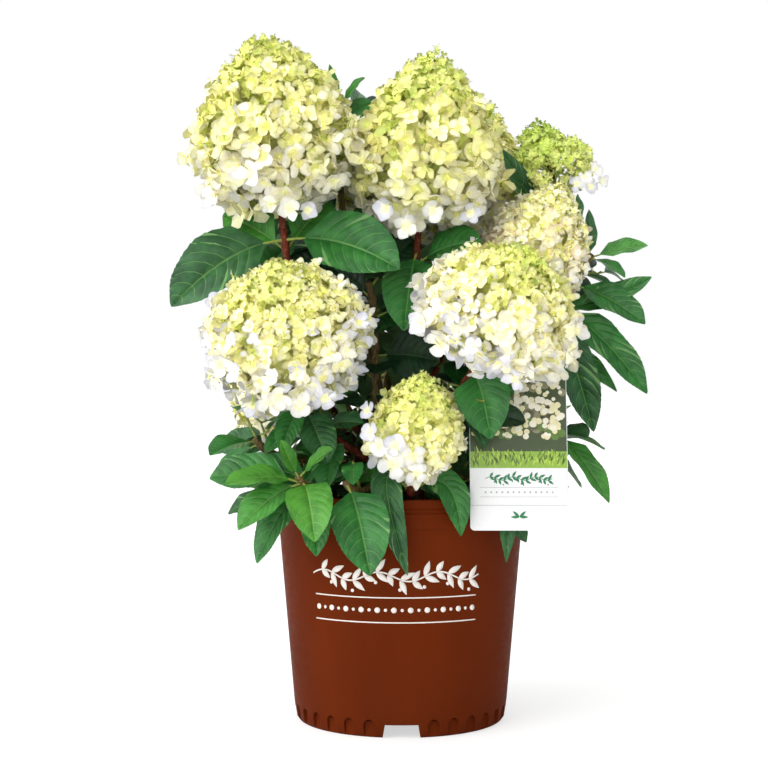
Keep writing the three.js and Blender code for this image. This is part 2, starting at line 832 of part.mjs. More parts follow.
// The stalk and the inner core of a flower head, in one piece.
function headCore(frame) {
  const rings = [[frame.surface(0, 0, HEAD.coreShare)]];
  for (const h of HEAD.coreHeights) {
    rings.push(
      Array.from({ length: HEAD.coreSides }, (_, k) =>
        frame.surface(h, (2 * Math.PI * k) / HEAD.coreSides, HEAD.coreShare),
      ),
    );
  }
  rings.push([frame.surface(1, 0, HEAD.coreShare)]);
  const stalk = new THREE.LineCurve3(
    offset(frame.foot, frame.axis, GAP - STALK.length),
    offset(frame.foot, frame.axis, frame.height * HEAD.stalkShare),
  );
  const stalkRadius = (t) => lerp(STALK.footRadius, STALK.tipRadius, t);
  return solid(loft(rings)).add(limb(stalk, [0, 1], stalkRadius, STALK.sides));
}

// Assembly

const plant = new THREE.Group();
const taken = [];

// Whether a shape is clear of everything built so far, apart from the pieces that it grows from.
function isClear(shape, apartFrom = []) {
  return taken.every((piece) => apartFrom.includes(piece.name) || shape.intersect(piece.shape).isEmpty());
}

function keep(name, shape, material) {
  taken.push({ name, shape });
  plant.add(mesh(name, shape, material));
}

keep("pot", buildPot(), MATERIALS.pot);
keep("soil", buildSoil(), MATERIALS.soil);
keep("label", buildLabel(), MATERIALS.label);
keep("trunk", buildTrunk(), MATERIALS.bark);

const rows = [...FLOWERING, ...LEAFY];
for (const ring of Object.keys(RINGS)) {
  const members = rows.filter((row) => row.ring === ring);
  const targets = members.map((row) => {
    const [x, y] = row.tip ?? row.centre;
    return (THREE.MathUtils.radToDeg(Math.atan2(y, x)) + 360) % 360;
  });
  ringHeadings(targets).forEach((heading, i) => {
    members[i].curve = caneCurve(members[i], heading);
  });
}

// Each cane is cut in two: the lower length is a bough, and the upper one is the stem of the leaves. A leafy shoot
// has only that stem, which starts at the trunk.
const canes = rows.map((row) => {
  const { curve, leaves, shown } = row;
  const split = row.tip ? 0 : CANE.split;
  const radiusAt = (t) => lerp(CANE.footRadius, CANE.tipRadius, t);
  if (split > 0) {
    const stations = stationsBetween(curve, [0, split - GAP / curve.getLength()]);
    keep("bough_" + row.place, limb(curve, stations, radiusAt, CANE.sides), MATERIALS.bark);
  }
  const nodes = leafNodes(split, leaves.pairs);
  const marks = [...new Set([split, 1, ...nodes, ...shown.map(({ at }) => at)])].sort((a, b) => a - b);
  const stem = limb(curve, stationsBetween(curve, marks), radiusAt, CANE.sides);
  return { row, nodes, stem, name: "stem_" + row.place };
});
canes.forEach(({ name, stem }) => taken.push({ name, shape: stem }));

const heads = FLOWERING.map((row) => {
  const frame = headFrame(row);
  return { row, frame, core: headCore(frame), name: "core_" + row.place };
});
heads.forEach(({ name, core }) => taken.push({ name, shape: core }));

// The leaves that show come first on every cane, and the pairs then fill in round them.
canes.forEach((cane) => {
  const { row, name } = cane;
  cane.mass = cane.stem;
  for (const { at, tip, width, arch, sway, facing } of row.shown) {
    const line = leafLine(row.curve.getPointAt(at), vector(...tip), arch, sway);
    const blade = leaf(line, direction(...facing), width);
    if (isClear(blade, [name])) cane.mass = cane.mass.add(blade);
  }
  taken.find((piece) => piece.name === name).shape = cane.mass;
});

canes.forEach((cane, number) => {
  const { row, name, nodes } = cane;
  const random = seeded(101 + 37 * number);
  nodes.forEach((t, pair) => {
    for (const side of [0, 1]) {
      for (let attempt = 0; attempt < GROWTH.tries; attempt++) {
        const blade = leafOfPair(row.curve, row.leaves, t, pair, side, random);
        if (!isClear(blade, [name])) continue;
        cane.mass = cane.mass.add(blade);
        break;
      }
    }
  });
  taken.splice(
    taken.findIndex((piece) => piece.name === name),
    1,
  );
  const young = row.place === "front_left" || row.place === "top";
  keep((row.tip ? "leafy_" : "leaves_") + row.place, cane.mass, young ? MATERIALS.youngLeaf : MATERIALS.leaf);
});

heads.forEach(({ row, frame, core, name }) => {
  const { places, radius } = flowerPlaces(frame);
  let mass = core;
  for (const [h, angle] of places) {
    const root = frame.surface(h, angle, HEAD.rootShare);
    const centre = frame.surface(h, angle, HEAD.flowerShare);
    const bloom = flower(root, centre, frame.normal(h, angle), radius * flowerSize(h), angle);
    if (isClear(bloom, [name])) mass = mass.add(bloom);
  }
  taken.splice(
    taken.findIndex((piece) => piece.name === name),
    1,
  );
  keep("bloom_" + row.place, mass, row.place === "upper_right" ? MATERIALS.greenFlower : MATERIALS.flower);
});

export default plant;
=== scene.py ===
import logging
import math
from dataclasses import dataclass, field
from enum import Enum
from typing import Callable, Iterable, Optional, Sequence

import bpy
import numpy as np
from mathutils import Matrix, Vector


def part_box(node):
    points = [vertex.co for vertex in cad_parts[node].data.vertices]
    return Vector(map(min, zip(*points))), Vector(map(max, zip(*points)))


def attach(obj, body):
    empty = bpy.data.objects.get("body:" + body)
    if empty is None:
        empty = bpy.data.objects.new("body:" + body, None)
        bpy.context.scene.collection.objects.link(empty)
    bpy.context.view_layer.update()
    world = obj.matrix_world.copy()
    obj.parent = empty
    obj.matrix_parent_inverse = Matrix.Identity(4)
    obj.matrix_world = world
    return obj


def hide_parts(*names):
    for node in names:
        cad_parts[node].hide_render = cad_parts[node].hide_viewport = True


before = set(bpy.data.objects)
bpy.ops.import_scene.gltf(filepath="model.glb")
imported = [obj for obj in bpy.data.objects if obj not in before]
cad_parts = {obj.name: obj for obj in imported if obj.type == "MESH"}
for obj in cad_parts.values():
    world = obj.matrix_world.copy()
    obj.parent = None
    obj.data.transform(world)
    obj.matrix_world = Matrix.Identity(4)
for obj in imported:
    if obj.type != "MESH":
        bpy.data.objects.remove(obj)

LOG = logging.getLogger("potted_shrub")
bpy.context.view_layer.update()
MM = 0.001
UP = np.array([0.0, 0.0, 1.0])
GOLDEN_ANGLE = math.pi * (3 - math.sqrt(5))
MOST_TRIANGLES = 180_000

Array = np.ndarray
Random = np.random.Generator
Piece = bpy.types.Object
Socket = bpy.types.NodeSocket
Material = bpy.types.Material
Triple = tuple[float, float, float]
Colour = Triple
Pair = tuple[float, float]
Number = float | Array
Flat = tuple[Array, Array]


# Small sums


def linear(tone: str) -> Colour:
    """Turns a colour of six hexadecimal digits, such as "f4f0cc", into linear light from 0 to 1."""
    shares = [int(tone[i : i + 2], 16) / 255 for i in (0, 2, 4)]
    return tuple(s / 12.92 if s <= 0.04045 else ((s + 0.055) / 1.055) ** 2.4 for s in shares)


def lerp(low: Number, high: Number, share: Number) -> Number:
    """Returns the value at a share of the way from low to high."""
    return low + (high - low) * share


def unit(vectors: Array) -> Array:
    """Returns vectors at a length of 1."""
    return vectors / np.linalg.norm(vectors, axis=-1, keepdims=True)


def direction(heading: Number, elevation: Number) -> Array:
    """Returns the direction at a heading and at an angle above the horizon, both in degrees."""
    turn, rise = np.radians(heading), np.radians(elevation)
    return np.stack([np.cos(rise) * np.cos(turn), np.cos(rise) * np.sin(turn), np.sin(rise) + 0 * turn], axis=-1)


def across(axes: Array) -> tuple[Array, Array]:
    """Returns two directions across each axis, the first of them level; with the axis they are right-handed."""
    level = unit(np.cross(axes, np.where(np.abs(axes[..., 2:]) > 0.98, [1.0, 0.0, 0.0], UP)))
    return level, unit(np.cross(axes, level))


def around(right: Array, over: Array, turn: Number) -> Array:
    """Returns the directions at angles round an axis, from the two directions across it."""
    return right * np.cos(turn) + over * np.sin(turn)


# Finishes


class Nodes:
    """The nodes of a material or a world, and short calls that add to them."""

    def __init__(self, owner: Material | bpy.types.World) -> None:
        """Switches the owner's nodes on."""
        owner.use_nodes = True
        self.tree = owner.node_tree

    def add(self, kind: str, output: int | str = 0, /, **values: object) -> Socket:
        """Adds a node and sets its inputs or its own options by name.

        Args:
            kind: The node's type, without the word ShaderNode.
            output: Which of its outputs is wanted.
            **values: Inputs by their name in lower case, or options of the node.

        Returns:
            The output socket.
        """
        node = self.tree.nodes.new("ShaderNode" + kind)
        sockets = {}
        for socket in node.inputs:
            sockets.setdefault(socket.name.lower().replace(" ", "_"), socket)
        for key, value in values.items():
            if key not in sockets:
                setattr(node, key, value)
        for key, value in values.items():
            if key in sockets:
                self.feed(sockets[key], value)
        return node.outputs[output]

    def feed(self, socket: Socket, value: object) -> None:
        """Joins another node's output to a socket, or sets its value.

        Args:
            socket: The input.
            value: An output socket, or a plain value.
        """
        if isinstance(value, Socket):
            self.tree.links.new(value, socket)
        else:
            socket.default_value = value

    def mix(self, share: object, first: Socket, second: Socket) -> Socket:
        """Mixes two shaders.

        Args:
            share: How much of the second one, as a number or a socket.
            first: The first shader.
            second: The second shader.

        Returns:
            The mixed shader.
        """
        node = self.tree.nodes.new("ShaderNodeMixShader")
        for socket, value in zip(node.inputs, (share, first, second)):
            self.feed(socket, value)
        return node.outputs[0]


class NodeSheet(Nodes):
    """A new material with a Principled shader."""

    def __init__(self, name: str, roughness: float, specular: float = 0.5, coat: float = 0.0) -> None:
        """Makes the material and sets the values that are even all over.

        Args:
            name: The material's name.
            roughness: How matt it is.
            specular: How strongly it shines.
            coat: The weight of a clear coat over it.
        """
        self.material = bpy.data.materials.new(name)
        super().__init__(self.material)
        self.shader = self.tree.nodes["Principled BSDF"]
        for key, value in (("Roughness", roughness), ("Specular IOR Level", specular), ("Coat Weight", coat)):
            self.shader.inputs[key].default_value = value
        self.place = self.add("TexCoord", "Object")

    def noise(self, scale: float, detail: float = 4.0, stretch: tuple = (1, 1, 1)) -> Socket:
        """Adds soft noise with so many features to the metre, drawn out by stretch."""
        vector = self.add("Mapping", vector=self.place, scale=stretch)
        return self.add("TexNoise", vector=vector, scale=scale, detail=detail)

    def blend(self, share: Socket, low: Colour, high: Colour, reach: Pair = (0.35, 0.65)) -> Socket:
        """Adds a colour that runs from low to high over a reach of a noise.

        Args:
            share: The noise.
            low: The colour at the start of the reach.
            high: The colour at its end.
            reach: The values of the noise at the two.

        Returns:
            The colour's socket.
        """
        node = self.tree.nodes.new("ShaderNodeValToRGB")
        for stop, at, colour in zip(node.color_ramp.elements, reach, (low, high)):
            stop.position = at
            stop.color = (*colour, 1)
        self.tree.links.new(share, node.inputs["Fac"])
        return node.outputs["Color"]

    def finish(self, colour: Socket, relief: Socket, depth: float) -> Material:
        """Joins the colour and a relief of so many millimetres to the shader.

        Args:
            colour: The base colour.
            relief: A height from 0 to 1.
            depth: The height that 1 stands for, in millimetres.

        Returns:
            The finished material.
        """
        self.feed(self.shader.inputs["Base Color"], colour)
        normal = self.add("Bump", height=relief, distance=depth * MM, strength=1.0)
        self.feed(self.shader.inputs["Normal"], normal)
        return self.material


def shade(colour: Colour, share: float) -> Colour:
    """Returns a colour with its light cut to a share."""
    return tuple(part * share for part in colour)


@dataclass(frozen=True)
class Mottled:
    """A finish of one colour with soft mottling and fine relief, for petals, leaves, print and card."""

    name: str
    tone: str
    roughness: float = 0.55
    specular: float = 0.3
    coat: float = 0.0
    spread: float = 0.9
    grain: float = 260.0
    relief_grain: float = 900.0
    depth: float = 0.12
    soft: float = 0.0
    soft_reach: float = 10.0

    def material(self) -> Material:
        """Makes the finish.

        Returns:
            The material.
        """
        sheet = NodeSheet(self.name, self.roughness, self.specular, self.coat)
        if self.soft:
            sheet.shader.subsurface_method = "BURLEY"
            sheet.shader.inputs["Subsurface Weight"].default_value = self.soft
            sheet.shader.inputs["Subsurface Radius"].default_value = (1.0, 0.9, 0.6)
            sheet.shader.inputs["Subsurface Scale"].default_value = self.soft_reach * MM
        base = linear(self.tone)
        colour = sheet.blend(sheet.noise(self.grain), shade(base, self.spread), base, (0.3, 0.6))
        return sheet.finish(colour, sheet.noise(self.relief_grain, 2.0), self.depth)


@dataclass(frozen=True)
class Leafy:
    """A leaf's finish: mottled green, with the fine net of its smallest veins in relief."""

    name: str
    tone: str
    light: str
    roughness: float = 0.36
    specular: float = 0.35
    dark_share: float = 0.86
    mottling: float = 70.0
    net: float = 480.0
    net_edge: float = 0.25
    depth: float = 0.45

    def material(self) -> Material:
        """Makes the finish.

        Returns:
            The material.
        """
        sheet = NodeSheet(self.name, self.roughness, self.specular)
        dark = shade(linear(self.tone), self.dark_share)
        colour = sheet.blend(sheet.noise(self.mottling, 6.0), dark, linear(self.light), (0.36, 0.64))
        cells = sheet.add("TexVoronoi", "Distance", feature="DISTANCE_TO_EDGE", vector=sheet.place, scale=self.net)
        net = sheet.add("Math", operation="MINIMUM", value=cells)
        net.node.inputs[1].default_value = self.net_edge
        return sheet.finish(colour, net, self.depth)


@dataclass(frozen=True)
class Bark:
    """Young bark: long fibres and small pale pores."""

    name: str
    dark: str
    light: str
    pore: str
    roughness: float = 0.68
    specular: float = 0.3
    fibres: float = 520.0
    pores: float = 230.0
    depth: float = 0.7

    def material(self) -> Material:
        """Makes the finish.

        Returns:
            The material.
        """
        sheet = NodeSheet(self.name, self.roughness, self.specular)
        fibre = sheet.noise(self.fibres, 5.0, (1, 1, 0.22))
        body = sheet.blend(fibre, linear(self.dark), linear(self.light))
        pores = sheet.add("TexVoronoi", "Distance", vector=sheet.place, scale=self.pores)
        share = sheet.blend(pores, (1, 1, 1), (0, 0, 0), (0.1, 0.24))
        colour = sheet.add("Mix", 2, data_type="RGBA")
        sockets = colour.node.inputs
        for at, value in ((0, share), (6, body), (7, (*linear(self.pore), 1))):
            sheet.feed(sockets[at], value)
        return sheet.finish(colour, fibre, self.depth)


@dataclass(frozen=True)
class PotPlastic:
    """Moulded pot plastic: satin, a little uneven in colour, with a fine grain and faint scuffs."""

    name: str = "pot_plastic"
    tone: str = "65270b"
    dark: str = "56200a"

    def material(self) -> Material:
        """Makes the finish.

        Returns:
            The material.
        """
        sheet = NodeSheet(self.name, 0.5, 0.02)
        cloud = sheet.noise(11.0, 6.0, (1, 1, 0.5))
        colour = sheet.blend(cloud, linear(self.dark), linear(self.tone), (0.3, 0.7))
        grain = sheet.noise(1500.0, 3.0)
        scuff = sheet.noise(60.0, 8.0, (1, 1, 3.0))
        rough = sheet.add("MapRange", value=scuff, from_min=0.35, from_max=0.75, to_min=0.44, to_max=0.58)
        sheet.feed(sheet.shader.inputs["Roughness"], rough)
        return sheet.finish(colour, grain, 0.1)


@dataclass(frozen=True)
class Crumbs:
    """Potting mix: dark crumbs with paler fibres."""

    name: str
    dark: str
    light: str
    grain: float = 420.0

    def material(self) -> Material:
        """Makes the finish.

        Returns:
            The material.
        """
        sheet = NodeSheet(self.name, 0.92, 0.2)
        grit = sheet.noise(self.grain, 8.0)
        return sheet.finish(sheet.blend(grit, linear(self.dark), linear(self.light)), grit, 1.6)


class Petal(Enum):
    """The colours of a floret, from white to the deep lime of unopened buds."""

    WHITE = "f1f0e8"
    # COOL is partly the florets' own lavender tinge and partly painted shade, greyed to darken heads that lie in
    # shade.
    COOL = "e2e2e8"
    IVORY = "f6f3e0"
    CREAM = "f7f5ca"
    BUTTER = "e9e6a2"
    LIME_CREAM = "dde08c"
    LIME = "d6e185"
    DEEP_LIME = "c4d672"
    BUD = "aac25c"
    # PEACH is partly the pink tinge of older florets and partly painted shade, darkened for the head that lies in
    # shade.
    PEACH = "e0d2b4"
    STALK = "a4ba5a"
    # The core's colour is painted shade: the yellowish shade seen between the florets.
    HEART = "e2e48c"

    @property
    def slot(self) -> int:
        """Its place among the florets' materials."""
        return PETALS.index(self)


class Green(Enum):
    """The colours of a leaf: its blade, the light of its mottling and its veins."""

    # The first green is painted shade: a darker blade, mottling and vein for leaves deep inside the crown.
    DARK = ("122e17", "1b4022", "2f5532")
    DEEP = ("23522a", "35693a", "5c8749")
    MID = ("246429", "337a32", "558b45")
    FRESH = ("3a7f2f", "4a9439", "6ca14c")
    YOUNG = ("43862d", "549a36", "6ea547")


FADE = [Petal[name] for name in "WHITE IVORY CREAM BUTTER LIME_CREAM LIME DEEP_LIME BUD".split()]
PETALS = list(Petal)
GREENS = list(Green)


def petal_materials() -> list[Material]:
    """Returns the florets' materials in the order of Petal."""
    look = {"roughness": 0.62, "specular": 0.25, "spread": 0.88, "soft": 0.85}
    return [Mottled("petal_" + tone.name.lower(), tone.value, **look).material() for tone in PETALS]


def leaf_materials() -> list[Material]:
    """Makes the leaves' materials.

    Returns:
        Blade and vein of each green, and then underside and stalk.
    """
    made = []
    for green in GREENS:
        name = green.name.lower()
        blade, light, vein = green.value
        made.append(Leafy("blade_" + name, blade, light).material())
        made.append(Mottled("vein_" + name, vein, 0.5).material())
    made.append(Mottled("leaf_underside", "6d9a5c", 0.6, spread=0.85, depth=0.3).material())
    made.append(Mottled("leaf_stalk", "97a84e", 0.5, spread=0.8).material())
    return made


# Meshes


@dataclass
class Sheaf:
    """Points and faces of many small things, gathered before one mesh is made of them."""

    points: list[Array] = field(default_factory=list)
    faces: dict[int, list[Array]] = field(default_factory=lambda: {4: [], 3: []})
    slots: dict[int, list[Array]] = field(default_factory=lambda: {4: [], 3: []})
    count: int = 0
    triangles: int = 0

    def add(self, points: Array, faces: Array, slots: Array | int) -> None:
        """Adds points with faces of three or four corners.

        Args:
            points: One point to a row, in millimetres.
            faces: One face to a row, counted from the first of these points.
            slots: The material slot of each face, or of all.
        """
        self.points.append(points)
        self.count += len(points)
        self.cover(faces, slots)

    def cover(self, faces: Array, slots: Array | int) -> None:
        """Adds faces over the points that were added last.

        Args:
            faces: One face to a row, with three or four corners.
            slots: The material slot of each face, or of all.
        """
        faces = np.asarray(faces)
        start = self.count - len(self.points[-1])
        corners = faces.shape[1]
        self.faces[corners].append(faces + start)
        self.slots[corners].append(np.broadcast_to(slots, len(faces)))
        self.triangles += len(faces) * (corners - 2)

    def take(self, other: "Sheaf") -> None:
        """Adds all that another sheaf holds.

        Args:
            other: The other sheaf.
        """
        self.points += other.points
        for corners in self.faces:
            self.faces[corners] += [faces + self.count for faces in other.faces[corners]]
            self.slots[corners] += other.slots[corners]
        self.count += other.count
        self.triangles += other.triangles

    def tube(self, path: Array, radii: Array, sides: int, slot: int) -> None:
        """Adds a round limb through the points of a path, closed at both ends.

        Args:
            path: The centre of each ring.
            radii: The radius of each ring, or of each of its corners.
            sides: How many corners a ring has.
            slot: Its material slot.
        """
        along = unit(np.gradient(path, axis=0))
        right, over = across(along)
        for i in range(1, len(path)):
            right[i] = unit(right[i - 1] - along[i] * (right[i - 1] @ along[i]))
            over[i] = np.cross(along[i], right[i])
        spokes = around(right[:, None], over[:, None], (2 * np.pi * np.arange(sides) / sides)[:, None])
        rings = path[:, None] + spokes * np.reshape(radii, (len(path), -1, 1))
        self.add(np.concatenate([rings.reshape(-1, 3), path[:1], path[-1:]]), lattice(len(path), sides, True), slot)
        self.cover(caps(len(path), sides), slot)

    def piece(self, name: str, materials: Sequence[Material], smooth: bool = True) -> Piece:
        """Makes one object of what was gathered.

        Args:
            name: The piece's name.
            materials: Its material slots, in order.
            smooth: Whether its faces are shaded smooth.

        Returns:
            The object, at the origin.
        """
        faces = [face for rows in self.faces.values() for part in rows for face in part.tolist()]
        slots = [part for rows in self.slots.values() for part in rows]
        mesh = bpy.data.meshes.new(name)
        mesh.from_pydata((np.concatenate(self.points) * MM).tolist(), [], faces)
        made = bpy.data.objects.new(name, mesh)
        dress(made, *materials)
        mesh.polygons.foreach_set("material_index", np.concatenate(slots).astype(np.int32))
        mesh.polygons.foreach_set("use_smooth", np.full(len(faces), smooth))
        mesh.update()
        bpy.context.scene.collection.objects.link(made)
        return made


def lattice(rows: int, columns: int, closed: bool = False) -> Array:
    """Lays quads over rows of points.

    Args:
        rows: How many rows there are.
        columns: How many points a row has.
        closed: Whether each row runs round.

    Returns:
        The quads.
    """
    row, column = np.meshgrid(np.arange(rows - 1), np.arange(columns if closed else columns - 1), indexing="ij")
    here = row * columns + column
    beside = row * columns + (column + 1) % columns
    return np.stack([here, beside, beside + columns, here + columns], axis=-1).reshape(-1, 4)


def caps(rings: int, sides: int) -> Array:
    """Closes both ends of a round lattice, whose foot and head points follow its last ring.

    Args:
        rings: How many rings it has.
        sides: How many corners a ring has.

    Returns:
        The triangles at the foot, and then those at the head.
    """
    corner = np.arange(sides)
    after = (corner + 1) % sides
    last = sides * (rings - 1)
    foot = np.stack([after, corner, np.full(sides, last + sides)], axis=1)
    head = np.stack([corner + last, after + last, np.full(sides, last + sides + 1)], axis=1)
    return np.concatenate([foot, head])


# Modelling by hand


def enter(mode: str) -> None:
    """Goes into edit mode or object mode."""
    bpy.ops.object.mode_set(mode=mode)


def deselect() -> None:
    """Leaves edit mode and deselects every object."""
    if bpy.context.object and bpy.context.object.mode != "OBJECT":
        enter("OBJECT")
    bpy.ops.object.select_all(action="DESELECT")


def activate(piece: Piece) -> Piece:
    """Makes a piece the only selected one, and the active one.

    Args:
        piece: The piece.

    Returns:
        The same piece.
    """
    deselect()
    piece.select_set(True)
    bpy.context.view_layer.objects.active = piece
    return piece


def settle(piece: Piece) -> Piece:
    """Moves a piece's place, turn and scale into its mesh.

    Args:
        piece: The piece.

    Returns:
        The same piece.
    """
    activate(piece)
    bpy.ops.object.transform_apply(location=True, rotation=True, scale=True)
    return piece


def apply_modifier(piece: Piece, kind: str, **options: object) -> None:
    """Adds a modifier and applies it.

    Args:
        piece: The piece.
        kind: The modifier's type.
        **options: Its options by name.
    """
    activate(piece)
    modifier = piece.modifiers.new(kind.lower(), kind)
    for key, value in options.items():
        setattr(modifier, key, value)
    bpy.ops.object.modifier_apply(modifier=modifier.name)


def dress(piece: Piece, *materials: Material) -> None:
    """Gives a piece its materials in place of any that it has.

    Args:
        piece: The piece.
        *materials: One material for each slot.
    """
    piece.data.materials.clear()
    for material in materials:
        piece.data.materials.append(material)


def smooth_by_angle(piece: Piece, degrees: float) -> None:
    """Shades a piece smooth, apart from edges sharper than an angle."""
    activate(piece)
    bpy.ops.object.shade_smooth_by_angle(angle=math.radians(degrees))


def place(piece: Piece, slot: str, nodes: Iterable[str] = ()) -> None:
    """Lets a piece ride on the plant's one body, and reports it.

    Args:
        piece: The finished piece.
        slot: The record's material slot; not used.
        nodes: The nodes that it stands for.
    """
    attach(piece, "root")
    nodes = list(nodes)
    if nodes:
        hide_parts(*nodes)
    LOG.info("%s: %d faces, stands for %d nodes", piece.name, len(piece.data.polygons), len(nodes))


def face_out() -> None:
    """Turns the faces of the piece in edit mode to its outside, and leaves edit mode."""
    bpy.ops.mesh.select_all(action="SELECT")
    bpy.ops.mesh.normals_make_consistent(inside=False)
    enter("OBJECT")


def turned(name: str, profile: Sequence[Pair], segments: int) -> Piece:
    """Extrudes a circle through the rings of a profile and closes it at both ends.

    Args:
        name: The piece's name.
        profile: Radius and height of each ring, from the centre below to the centre above.
        segments: How many corners each ring has.

    Returns:
        The new piece.
    """
    deselect()
    radius, height = profile[0]
    bpy.ops.mesh.primitive_circle_add(vertices=segments, radius=radius * MM, location=(0, 0, height * MM))
    piece = settle(bpy.context.object)
    piece.name = piece.data.name = name
    enter("EDIT")
    bpy.ops.mesh.select_all(action="SELECT")
    for (before, low), (after, high) in zip(profile, profile[1:]):
        bpy.ops.mesh.extrude_edges_move(TRANSFORM_OT_translate={"value": (0, 0, (high - low) * MM)})
        bpy.ops.transform.resize(value=(after / before, after / before, 1), center_override=(0, 0, 0))
    bpy.ops.mesh.edge_face_add()
    bpy.ops.mesh.select_all(action="DESELECT")
    enter("OBJECT")
    for i in range(segments):
        piece.data.vertices[i].select = True
    enter("EDIT")
    bpy.ops.mesh.select_mode(type="VERT")
    bpy.ops.mesh.edge_face_add()
    face_out()
    return piece


def move_where(piece: Piece, test: Callable, by: tuple = (0, 0, 0), scale: tuple = (1, 1, 1)) -> None:
    """Moves and scales the points of a piece that pass a test of their place.

    Args:
        piece: The piece, in object mode.
        test: Says of a point whether it is chosen.
        by: How far they move, in metres.
        scale: How much they are drawn out from their own middle.
    """
    activate(piece)
    enter("EDIT")
    bpy.ops.mesh.select_mode(type="VERT")
    bpy.ops.mesh.select_all(action="DESELECT")
    enter("OBJECT")
    chosen = [vertex for vertex in piece.data.vertices if test(vertex.co)]
    for vertex in chosen:
        vertex.select = True
    middle = sum((np.array(vertex.co) for vertex in chosen), np.zeros(3)) / len(chosen)
    enter("EDIT")
    bpy.ops.transform.resize(value=scale, center_override=tuple(middle))
    bpy.ops.transform.translate(value=by)
    enter("OBJECT")


def join(pieces: Sequence[Piece], name: str) -> Piece:
    """Joins pieces into the first of them.

    Args:
        pieces: The pieces.
        name: The joined piece's name.

    Returns:
        The joined piece.
    """
    deselect()
    for piece in pieces:
        piece.select_set(True)
    bpy.context.view_layer.objects.active = pieces[0]
    bpy.ops.object.join()
    pieces[0].name = pieces[0].data.name = name
    return pieces[0]


# Pot and soil


